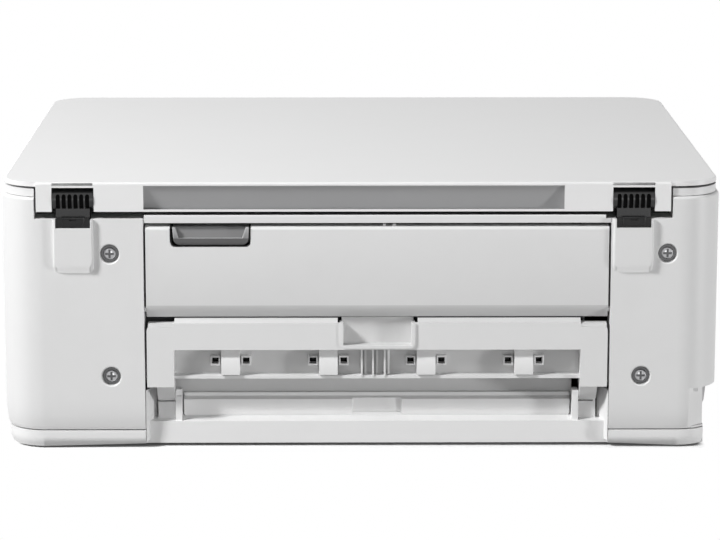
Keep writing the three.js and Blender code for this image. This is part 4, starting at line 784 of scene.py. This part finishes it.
shellSetup = {
    "document_lid": ("lidPlastic", 0.45, 2, shapeLid),
    "side_cover_right": ("shellPlastic", 0.4, 2, shapeSide),
    "side_cover_left": ("shellPlastic", 0.4, 2, shapeSide),
    # painted light: the base pan and the lower guide take the lighter plastic to stand in for the light
    # thrown up from the floor
    "base_pan": ("lidPlastic", 0.35, 2, shapeBase),
    "front_fascia": ("shellPlastic", 0.4, 2),
    "scanner_frame": ("shellPlastic", 0.4, 2),
    "rear_rail": ("shellPlastic", 0.4, 3, shapeRail),
    "lower_guide": ("lidPlastic", 0.3, 2, shapeGuide),
    "rear_cover": ("shellPlastic", 0.4, 2, shapeCover),
    "lower_flap": ("shellPlastic", 0.35, 2, shapeFlap),
    "ink_door": ("shellPlastic", 0.5, 2),
    "control_panel": ("shellPlastic", 0.5, 2),
}
# Painted shade: the lid's trough, the rear cover's leaning foot and the flap's panel, scoop and top strip are
# painted darker where shade falls
shellPaint = {
    "document_lid": [("channelPaintedShade", (-112.7, 160, 134.72), (120.2, 167.2, 149.35))],
    "rear_cover": [("innerPlastic", (-137, 160, 73), (119, 168.2, 79.8))],
    "lower_flap": [("innerPlastic", (-137, 157.6, 40.5), (119, 158.4, 62.5)),
                   ("innerPlastic", (-137, 163.6, 71.4), (119, 167.8, 73.9)),
                   ("innerPlastic", (-29, 158, 58.5), (10.4, 167.2, 73.9))],
}
for nodeName, (finish, width, segments, *shape) in shellSetup.items():
    slots = lidSetup["slots"] if nodeName == "document_lid" else ()
    dressNode(nodeName, finish, width, segments, shape=shape[0] if shape else None,
              paint=shellPaint.get(nodeName, ()), cuts=slots)
print("shell pieces dressed:", len(shellSetup))


# Flap holes: raised frames in the lighter plastic, painted light, round black wells, painted shade where the
# holes hold only shade

def makeFlapHoles(setup):
    wells, frames = bmesh.new(), bmesh.new()
    face, proud, z = setup["panelFace"], setup["holeProud"], setup["holeMiddle"]
    half, (deep, shallow) = setup["holeSize"] / 2, setup["wellDepth"]
    wide, frameHalf = half + setup["wellSpare"], (half + setup["frameReach"]) * mm
    upright = Matrix.Rotation(math.radians(-90), 3, "X")
    for middle in setup["padMiddles"]:
        for side in (-1, 1):
            x = middle + side * setup["holeReach"]
            block((x - wide, face - deep, z - wide), (x + wide, face - shallow, z + wide), wells)
            sheet = bmesh.ops.create_grid(frames, x_segments=1, y_segments=1, size=frameHalf)["verts"]
            bmesh.ops.rotate(frames, cent=(0, 0, 0), matrix=upright, verts=sheet)
            bmesh.ops.translate(frames, vec=(x * mm, (face + proud) * mm, z * mm), verts=sheet)
            panes = [sheet[0].link_faces[0]]
            bmesh.ops.inset_region(frames, faces=panes, thickness=setup["frameWidth"] * mm, use_boundary=True,
                                   use_even_offset=True)
            bmesh.ops.delete(frames, geom=panes, context="FACES")
    faceOut(frames)
    bmesh.ops.solidify(frames, geom=frames.faces[:], thickness=(proud + 0.1) * mm)
    faceOut(frames)
    roundEdges(frames, 0.15, 1, longer=0.5)
    roundEdges(wells, 0.1, 1, longer=0.5)
    addPiece("flapHoleFrames", frames, "lidPlastic", "lower_flap")
    addPiece("flapHoleWells", wells, "paintedShadeBlack", "lower_flap")


makeFlapHoles(flapSetup)
print("flap holes framed")


# Latch: a grey scoop that narrows towards its foot, in a dark well of painted shade, with a painted highlight
# on its rim

latchSetup = {
    "top": (61.7, 104.1), "foot": (62.5, 103.1), "mouthTop": (63.2, 102.7), "mouthSill": (65.6, 100.6),
    "height": (115.4, 125.9), "face": 168.9, "back": 157.4, "sill": 119.7, "footLean": 2.6,
    "mouthDepth": 2.4, "mouthLean": 2.2, "corner": 3.0,
    "wellOuter": ((60.75, 157.0, 114.75), (105.05, 167.3, 126.0)),
    "wellInner": ((61.15, 157.4, 115.15), (104.65, 168.0, 127.0)), "wellCorner": 2.6,
}


def trapezoid(low, high, foot, top):
    return [(low[0], foot), (low[1], foot), (high[1], top), (high[0], top)]


def makeLatch(setup):
    foot, top = setup["height"]
    face, back, sill = setup["face"], setup["back"], setup["sill"]
    bm = prism(trapezoid(setup["foot"], setup["top"], foot, top), "y", back, face)
    lowCorners = within((60, 150, foot - 1), (105, 170, foot + 1))
    roundEdges(bm, setup["corner"], 5, test=lowCorners, along="y")
    bmesh.ops.bisect_plane(bm, geom=bm.verts[:] + bm.edges[:] + bm.faces[:], dist=0.01 * mm,
                           plane_co=(0, 0, sill * mm), plane_no=(0, 0, 1))
    for vert in bm.verts:   # the front leans in below the sill
        if vert.co.y > (face - 0.1) * mm:
            vert.co.y -= setup["footLean"] * mm * max(0, 1 - (vert.co.z / mm - foot) / (sill - foot))
    mouth = trapezoid(setup["mouthSill"], setup["mouthTop"], sill, top + 1)
    cutter = prism(mouth, "y", face - setup["mouthDepth"], face + 1)
    for vert in cutter.verts:   # its back wall leans away towards the top
        if vert.co.y < face * mm and vert.co.z > (sill + 1) * mm:
            vert.co.y -= setup["mouthLean"] * mm
    bm = carve(bm, cutter)
    flatten(bm)
    roundEdges(bm, 0.5, 3, longer=0.5)
    scoop = addPiece("latchScoop", bm, "greyPlastic", "rear_latch", ["rear_latch"])
    weighNormals(scoop)
    # painted highlight: a lighter grey on the rim faces and along the sill's top edge
    paintZones(scoop, [("latchRimPaintedHighlight", (60, face - 0.75, sill - 0.45), (106, face + 0.1, 127)),
                       ("latchRimPaintedHighlight", (60, face - 2.6, sill - 0.45), (106, face + 0.1, sill + 0.25))])


makeLatch(latchSetup)


# The well round the latch: a thin black tray inside the cover's opening, painted shade standing in for the
# shade in the gap
def makeLatchWell(setup):
    outer, inner = block(*setup["wellOuter"]), block(*setup["wellInner"])
    for part in (outer, inner):
        roundEdges(part, setup["wellCorner"], 4, test=within((60, 150, 114), (106, 170, 115.4)), along="y")
    bm = carve(outer, inner)
    roundEdges(bm, 0.12, 1)
    addPiece("latchWell", bm, "paintedShadeBlack", "rear_cover")


makeLatchWell(latchSetup)
print("latch made")


# Hinges: black barrels with deep round-ended flutes, on blocks with a raised frame; the rib fronts carry a
# painted highlight and the flute floors painted shade

hingeSetup = {
    "flutes": 6, "pitch": 3.2286, "fluteWidth": 2.3, "fluteBack": 164.8, "fluteHeight": (136.2, 144.3),
    "blockRear": 169.4, "frame": ((-6.4, 126.6), (6.4, 131.6)), "frameDepth": (0.3, 0.5),
    "frameWall": 0.9, "paintReach": 12,
}


def shapePost(bm, middle, setup):
    foot, top = setup["fluteHeight"]
    half = setup["fluteWidth"] / 2
    for step in range(setup["flutes"]):
        x = middle + (step - (setup["flutes"] - 1) / 2) * setup["pitch"]
        roundTop = [(x + half, top - half), (x + half * 0.6, top - half * 0.2), (x, top),
                    (x - half * 0.6, top - half * 0.2), (x - half, top - half)]
        bm = carve(bm, prism([(x - half, foot), (x + half, foot)] + roundTop, "y", setup["fluteBack"], 172))
    return bm


def makeHinge(side, setup):
    middle, deep, (foot, top) = hingeMiddles[side], setup["fluteBack"], setup["fluteHeight"]
    low, high = middle - setup["paintReach"], middle + setup["paintReach"]
    # painted highlight on the rib fronts, painted shade on the flute floors
    paint = [("ribPaintedHighlight", (low, deep + 1.6, foot - 0.2), (high, 170, top + 0.4)),
             ("flutePaintedShade", (low, deep - 0.2, foot - 0.2), (high, deep + 0.8, top + 0.4))]
    dressNode("hinge_post_" + side, "hingePlastic", 0.35, 3, 0.6, paint=paint,
              shape=lambda bm: shapePost(bm, middle, setup))
    dressNode("hinge_leaf_" + side, "hingePlastic", 0.3, 2, 0.6)
    (left, foot), (right, top) = setup["frame"]
    (sink, proud), wall, rear = setup["frameDepth"], setup["frameWall"], setup["blockRear"]
    bm = block((middle + left, rear - sink, foot), (middle + right, rear + proud, top))
    bm = carve(bm, block((middle + left + wall, 160, foot + wall), (middle + right - wall, 172, top - wall)))
    roundEdges(bm, 0.2, 2, longer=0.5)
    addPiece("hingeFrame" + side.capitalize(), bm, "hingePlastic", "hinge_posts")


for side in ("right", "left"):
    makeHinge(side, hingeSetup)
print("hinges dressed")


# Working parts: everything inside, the tray with its guides, and the display's pane

workSetup = {
    # node: finish, width of the rounded edges and segments where they aren't 0.4 and 2
    "scanner_pan": ("darkPlastic",),
    "scanner_glass": ("scanGlass", 0.3),
    "scan_rod": ("shaftSteel", 0.3),
    "scan_bar": ("darkPlastic", 0.5),
    "print_frame": ("sheetSteel", 0.2, 1),
    "inner_guide": ("darkPlastic",),
    "platen": ("darkPlastic", 0.3),
    "print_carriage": ("darkPlastic", 0.8, 3),
    "feed_roller": ("shaftSteel", 0.3),
    "exit_roller": ("rollerRubber",),
    "feed_gear": ("gearNylon", 0.12, 1),
    "idler_gear": ("gearNylon", 0.12, 1),
    "exit_gear": ("gearNylon", 0.12, 1),
    "pickup_arm": ("darkPlastic", 0.3),
    "pickup_roller": ("rollerRubber", 0.5),
    "power_supply": ("darkPlastic", 1.2, 3),
    "paper_tray": ("innerPlastic",),
    "tray_cover": ("innerPlastic",),
    "stop_flap": ("innerPlastic",),
    "width_guide_left": ("darkPlastic",),
    "width_guide_right": ("darkPlastic",),
    "end_guide": ("darkPlastic",),
    "display_window": ("displayFace", 0.3),
    "cartridge_bay": ("darkPlastic", 0.3),
    "cartridge_black": ("inkBlack", 0.5),
    "cartridge_cyan": ("inkCyan", 0.5),
    "cartridge_magenta": ("inkMagenta", 0.5),
    "cartridge_yellow": ("inkYellow", 0.5),
    "main_board": ("circuitBoard", 0.2, 1),
}
paintSetup = {
    "main_board": [
        ("darkPlastic", (-142.2, -75, 20), (-140.15, -45, 80)),
        ("innerPlastic", (-146.5, -136, 60), (-140.15, -80, 93)),
    ],
    "feed_roller": [("rollerRubber", (-119, 13, 71), (119, 27, 86))],
    "exit_roller": [
        ("shaftSteel", (-140, -38, 75), (-122, -27, 85)),
        ("shaftSteel", (122, -38, 75), (140, -27, 85)),
    ],
}
for ink in ("black", "cyan", "magenta", "yellow"):
    paintSetup["cartridge_" + ink] = [("darkPlastic", (120, -160, 10), (170, -80, 80))]
for nodeName, values in workSetup.items():
    dressNode(nodeName, *values, longer=0.6, paint=paintSetup.get(nodeName, ()))
print("working pieces dressed:", len(workSetup))


# Mains inlet: a light moulded recess with a dark socket, two plated pins and a small catch
inletSetup = {
    "paint": [
        ("socketPlastic", (-193, 123.4, 16.4), (-171, 144.6, 28.6)),
        ("goldContact", (-190, 127.9, 21.0), (-173.2, 131.3, 24.0)),
        ("goldContact", (-190, 136.7, 21.0), (-173.2, 140.1, 24.0)),
    ],
    "catch": ((-188.8, 157.5, 31.0), (-185.4, 162.3, 34.4)),
    "cuts": [((-200, 106.7, 9.9), (-192.3, 169, 11.5))],
}
dressNode("mains_inlet", "shellPlastic", 0.25, 2, 0.6, paint=inletSetup["paint"], cuts=inletSetup["cuts"],
          shape=lambda bm: unite(bm, block(*inletSetup["catch"])))
print("mains inlet made")


# Rear screws: pan heads turned on a spin, with a cross recess; the dark flange and cross-recess floor are
# painted shade, the lighter head plain steel

screwSetup = {
    "flangeRadius": 4.9, "flangeHeight": 0.7, "headRadius": 3.5, "headHeight": 2.2, "shankRadius": 1.4,
    "shankLength": 8.5, "crossWidth": 1.2, "crossLength": 4.8, "crossDepth": 1.9, "turns": 40,
}


def makeScrew(node, setup):
    low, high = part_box(node)
    x, z, face = (low.x + high.x) / 2, (low.z + high.z) / 2, high.y
    radius, height = setup["headRadius"] * mm, setup["headHeight"] * mm
    shank, depth = setup["shankRadius"] * mm, setup["shankLength"] * mm
    flange, lip = setup["flangeRadius"] * mm, setup["flangeHeight"] * mm
    profile = [(0, 0), (radius * 0.45, -height * 0.06), (radius * 0.78, -height * 0.22),
               (radius * 0.95, -height * 0.45), (radius, -height + lip), (flange - lip * 0.3, -height + lip),
               (flange, -height + lip * 0.7), (flange, -height), (shank, -height), (shank, -height - depth),
               (0, -height - depth)]
    bm = turnProfile([(x + r, face + h, z) for r, h in profile], (x, 0, z), (0, 1, 0), setup["turns"])
    wide, long = setup["crossWidth"] * mm / 2, setup["crossLength"] * mm / 2
    floorY, topY = face - setup["crossDepth"] * mm, face + mm
    for halfX, halfZ in ((wide, long), (long, wide)):
        bm = carve(bm, makeBox((x - halfX, floorY, z - halfZ), (x + halfX, topY, z + halfZ)))
    piece = addPiece(node + "Head", bm, "screwSteelPaintedShade", bodyOf[node], [node], 32)
    x, y, z = x / mm, face / mm, z / mm
    headFoot = y - setup["headHeight"] + setup["flangeHeight"] + 0.1
    # the head is plain steel; the flange and the cross-recess floor below it keep the darker copy, painted
    # shade
    paintZones(piece, [("screwHead", (x - 4, headFoot, z - 4), (x + 4, y + 1, z + 4))])
    weighNormals(piece)


for nodeName in ("screw_right_top", "screw_right_low", "screw_left_top", "screw_left_low"):
    makeScrew(nodeName, screwSetup)
print("screws turned")


# Feet: rubber pads with a dished face

footSetup = {"turns": 48, "rim": 0.35, "dish": 0.5, "dishShare": 0.72}


def makeFoot(node, setup):
    low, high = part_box(node)
    centre = (low + high) / 2
    radius = (high.x - low.x) / 2
    rim, dish, inner = setup["rim"] * mm, setup["dish"] * mm, radius * setup["dishShare"]
    profile = [(0, low.z + dish), (inner * 0.9, low.z + dish), (inner, low.z), (radius - rim, low.z),
               (radius - rim * 0.3, low.z + rim * 0.3), (radius, low.z + rim), (radius, high.z), (0, high.z)]
    bm = turnProfile([(centre.x + r, centre.y, z) for r, z in profile], centre, (0, 0, 1), setup["turns"])
    addPiece(node + "Pad", bm, "footRubber", bodyOf[node], [node], 40)


for nodeName in ("foot_front_left", "foot_front_right", "foot_rear_left", "foot_rear_right"):
    makeFoot(nodeName, footSetup)
print("feet made")


# Document pad: white film on thin foam, flat against the lid and slightly crowned below

padSetup = {"cells": (58, 48), "crown": 0.55, "edge": 1.3, "corner": 5.0}


def makeDocumentPad(setup):
    low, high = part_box("document_pad")
    middle, half = (low + high) / 2, (high - low) / 2
    bm = bmesh.new()
    columns, rows = setup["cells"]
    made = bmesh.ops.create_grid(bm, x_segments=columns, y_segments=rows, size=1)["verts"]
    bmesh.ops.scale(bm, vec=(half.x, half.y, 1), verts=made)
    bmesh.ops.translate(bm, vec=(middle.x, middle.y, high.z), verts=made)
    corner, edge, crown = setup["corner"] * mm, setup["edge"] * mm, setup["crown"] * mm
    for vert in bm.verts:   # round the four corners of the sheet
        over = [max(abs(vert.co[i] - middle[i]) - (half[i] - corner), 0) for i in (0, 1)]
        reach = math.hypot(*over)
        if over[0] > 0 and over[1] > 0 and reach > corner:
            for i in (0, 1):
                side = 1 if vert.co[i] > middle[i] else -1
                vert.co[i] = middle[i] + side * (half[i] - corner + over[i] * corner / reach)
    bmesh.ops.solidify(bm, geom=bm.faces[:], thickness=high.z - low.z)
    bmesh.ops.translate(bm, vec=(0, 0, high.z - max(vert.co.z for vert in bm.verts)), verts=bm.verts)
    for vert in bm.verts:
        if vert.co.z > middle.z:
            vert.co.z = high.z
            continue
        x, y = abs(vert.co.x - middle.x), abs(vert.co.y - middle.y)
        rolled = max(0, 1 - min(half.x - x, half.y - y) / edge)
        bend = (min(x / half.x, 1) ** 4 + min(y / half.y, 1) ** 4) / 2
        vert.co.z = low.z + crown * bend + (high.z - low.z) * 0.4 * rolled ** 2
    faceOut(bm)
    piece = addPiece("documentPadFoam", bm, "padFoam", "lid", ["document_pad"], 55)


makeDocumentPad(padSetup)
print("document pad made")


# Panel buttons: dished caps with raised plain signs

buttonSetup = {
    "turns": 48, "rimShare": 0.86, "dish": 0.35, "round": 0.45, "signRise": 0.14, "signShare": 0.34,
}


def makeButton(node, sign, setup):
    low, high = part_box(node)
    x, z, face = (low.x + high.x) / 2, (low.z + high.z) / 2, low.y
    radius, dish, roll = (high.x - low.x) / 2, setup["dish"] * mm, setup["round"] * mm
    inner = radius * setup["rimShare"]
    profile = [(0, face + dish), (inner * 0.6, face + dish * 0.7), (inner, face + dish * 0.1),
               (radius - roll, face), (radius - roll * 0.3, face + roll * 0.3), (radius, face + roll),
               (radius, high.y), (0, high.y)]
    bm = turnProfile([(x + r, y, z) for r, y in profile], (x, 0, z), (0, 1, 0), setup["turns"])
    weighNormals(addPiece(node + "Cap", bm, "buttonPlastic", bodyOf[node], [node], 40))
    size, rise = radius * setup["signShare"], setup["signRise"] * mm
    makeSign(node + "Sign", sign, (x, face + dish, z), size, rise, bodyOf[node])


# Signs that any maker uses: a broken ring and bar, a ring with a square, a tick and a wedge
def makeSign(name, sign, centre, size, rise, body):
    x, y, z = centre
    bm = bmesh.new()
    back, front = y + 0.2 * mm, y - rise
    line = size * 0.13
    if sign in ("ringBar", "ringSquare"):
        gap = math.radians(50 if sign == "ringBar" else 0)
        corners = [(size - line, back), (size + line, back), (size + line, front), (size - line, front)]
        start = Matrix.Rotation(gap / 2, 3, "Y")
        points = [bm.verts.new(Vector((x, 0, z)) + start @ Vector((0, depth, r))) for r, depth in corners]
        whole = sign == "ringSquare"
        bmesh.ops.spin(bm, geom=[bm.faces.new(points)], cent=(x, 0, z), axis=(0, 1, 0), angle=math.tau - gap,
                       steps=40, use_merge=whole)
        if whole:
            caps = [face for face in bm.faces if all(abs(vert.co.x - x) < line * 0.2 for vert in face.verts)]
            bmesh.ops.delete(bm, geom=caps, context="FACES_ONLY")
    if sign == "ringBar":
        makeBox((x - line, front, z + size * 0.45), (x + line, back, z + size * 1.3), bm)
    if sign == "ringSquare":
        half = size * 0.36
        makeBox((x - half, front, z - half), (x + half, back, z + half), bm)
    if sign in ("tick", "wedge"):
        outline = {
            "tick": [(-0.9, 0.05), (-0.65, 0.3), (-0.25, -0.1), (0.7, 0.85), (0.95, 0.6), (-0.25, -0.6)],
            "wedge": [(-0.6, 0.85), (0.95, 0.0), (-0.6, -0.85)],
        }[sign]
        face = bm.faces.new([bm.verts.new((x + u * size, back, z + v * size)) for u, v in outline])
        extrude(bm, face, (0, front - back, 0))
    faceOut(bm)
    addPiece(name, bm, "lidPlastic", body, smooth=None)


signSetup = {
    "power_button": "ringBar",
    "stop_button": "ringSquare",
    "ok_button": "tick",
    "start_button": "wedge",
}
for nodeName, sign in signSetup.items():
    makeButton(nodeName, sign, buttonSetup)
print("buttons made")


# Board components: chips, capacitors and sockets on the outer face of the main board

boardSetup = {
    "face": -140.1,
    "sink": 0.1,
    "pieces": [("boardChips", "chips", "socketPlastic"), ("boardSockets", "sockets", "lidPlastic")],
    # Y, Z, length, height, thickness
    "chips": [(-112, 48, 12, 12, 1.4), (-20, 60, 9, 14, 1.4), (-30, 22, 16, 8, 1.6), (-100, 20, 7, 7, 1.0),
              (2, 80, 8, 6, 1.2)],
    "sockets": [(-60, 84, 24, 5, 4.2), (-22, 84, 14, 5, 4.2), (-124, 24, 5, 18, 4.0), (6, 30, 5, 22, 4.0)],
    # Y, Z, radius, height
    "capacitors": [(-88, 72, 3.2, 5.0), (-80, 72, 3.2, 5.0), (-44, 34, 2.6, 4.6), (-10, 44, 3.2, 5.0)],
}


def makeBoardParts(setup):
    face, sink = setup["face"], setup["sink"]
    for name, key, finish in setup["pieces"]:
        bm = bmesh.new()
        for y, z, long, tall, thick in setup[key]:
            block((face - thick, y - long / 2, z - tall / 2), (face + sink, y + long / 2, z + tall / 2), bm)
        roundEdges(bm, 0.25, 2)
        addPiece(name, bm, finish, "case")
    bm = bmesh.new()
    for y, z, radius, tall in setup["capacitors"]:
        spot = Vector((face - tall / 2 + sink / 2, y, z)) * mm
        turned = Matrix.Translation(spot) @ Matrix.Rotation(math.radians(90), 4, "Y")
        bmesh.ops.create_cone(bm, cap_ends=True, segments=28, radius1=radius * mm, radius2=radius * mm,
                              depth=(tall + sink) * mm, matrix=turned)
    roundEdges(bm, 0.5, 3)
    addPiece("boardCapacitors", bm, "shaftSteel", "case")


makeBoardParts(boardSetup)
print("board parts made")


# Display: two rows of plain tiles that stand a little out of the pane and glow faintly

def glowingTile(name, colour):
    shader = Shader(name)
    fade = shader.noise(60.0, 2.0)
    shade = shader.mix(fade, scaled(colour, 0.8), colour)
    shader.surface.inputs["Emission Strength"].default_value = 0.35
    return shader.finish(Base_Color=shade, Emission_Color=shade, Roughness=0.3 + fade * 0.1)


finishes["tileBlue"] = glowingTile("tileBlue", (0.05, 0.22, 0.42))
finishes["tileGrey"] = glowingTile("tileGrey", (0.30, 0.32, 0.34))

displaySetup = {
    "columns": 3, "rows": ("tileBlue", "tileGrey"), "tile": 9.0, "gap": 3.6, "rise": 0.12, "sink": 0.2,
    "corner": 1.4,
}


def makeDisplayTiles(setup):
    node = "display_window"
    low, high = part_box(node)
    middle, face = (low + high) / 2 / mm, low.y / mm
    half, rise, pitch = setup["tile"] / 2, setup["rise"], setup["tile"] + setup["gap"]
    for row, finish in enumerate(setup["rows"]):
        bm = bmesh.new()
        for column in range(setup["columns"]):
            x = middle.x + (column - (setup["columns"] - 1) / 2) * pitch
            z = middle.z + (0.5 - row) * pitch
            block((x - half, face - rise, z - half), (x + half, face + setup["sink"], z + half), bm)
        roundEdges(bm, setup["corner"], 5, longer=0.1, along="y")
        addPiece("displayTiles" + str(row + 1), bm, finish, bodyOf[node], smooth=30)


makeDisplayTiles(displaySetup)
print("display tiles made")


# Scanner: a dark film edge under the glass

glassSetup = {"film": (3.2, 0.25, 0.02), "window": (7.0, 2.0, -2.0)}


def makeGlassBorder(setup):
    low, high = (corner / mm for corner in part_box("scanner_glass"))

    def sheet(inset, deep, shallow):
        near = (low.x + inset, low.y + inset, low.z - deep)
        return block(near, (high.x - inset, high.y - inset, low.z - shallow))

    bm = carve(sheet(*setup["film"]), sheet(*setup["window"]))
    addPiece("glassEdgeFilm", bm, "darkPlastic", bodyOf["scanner_glass"])


makeGlassBorder(glassSetup)
print("glass edge made")
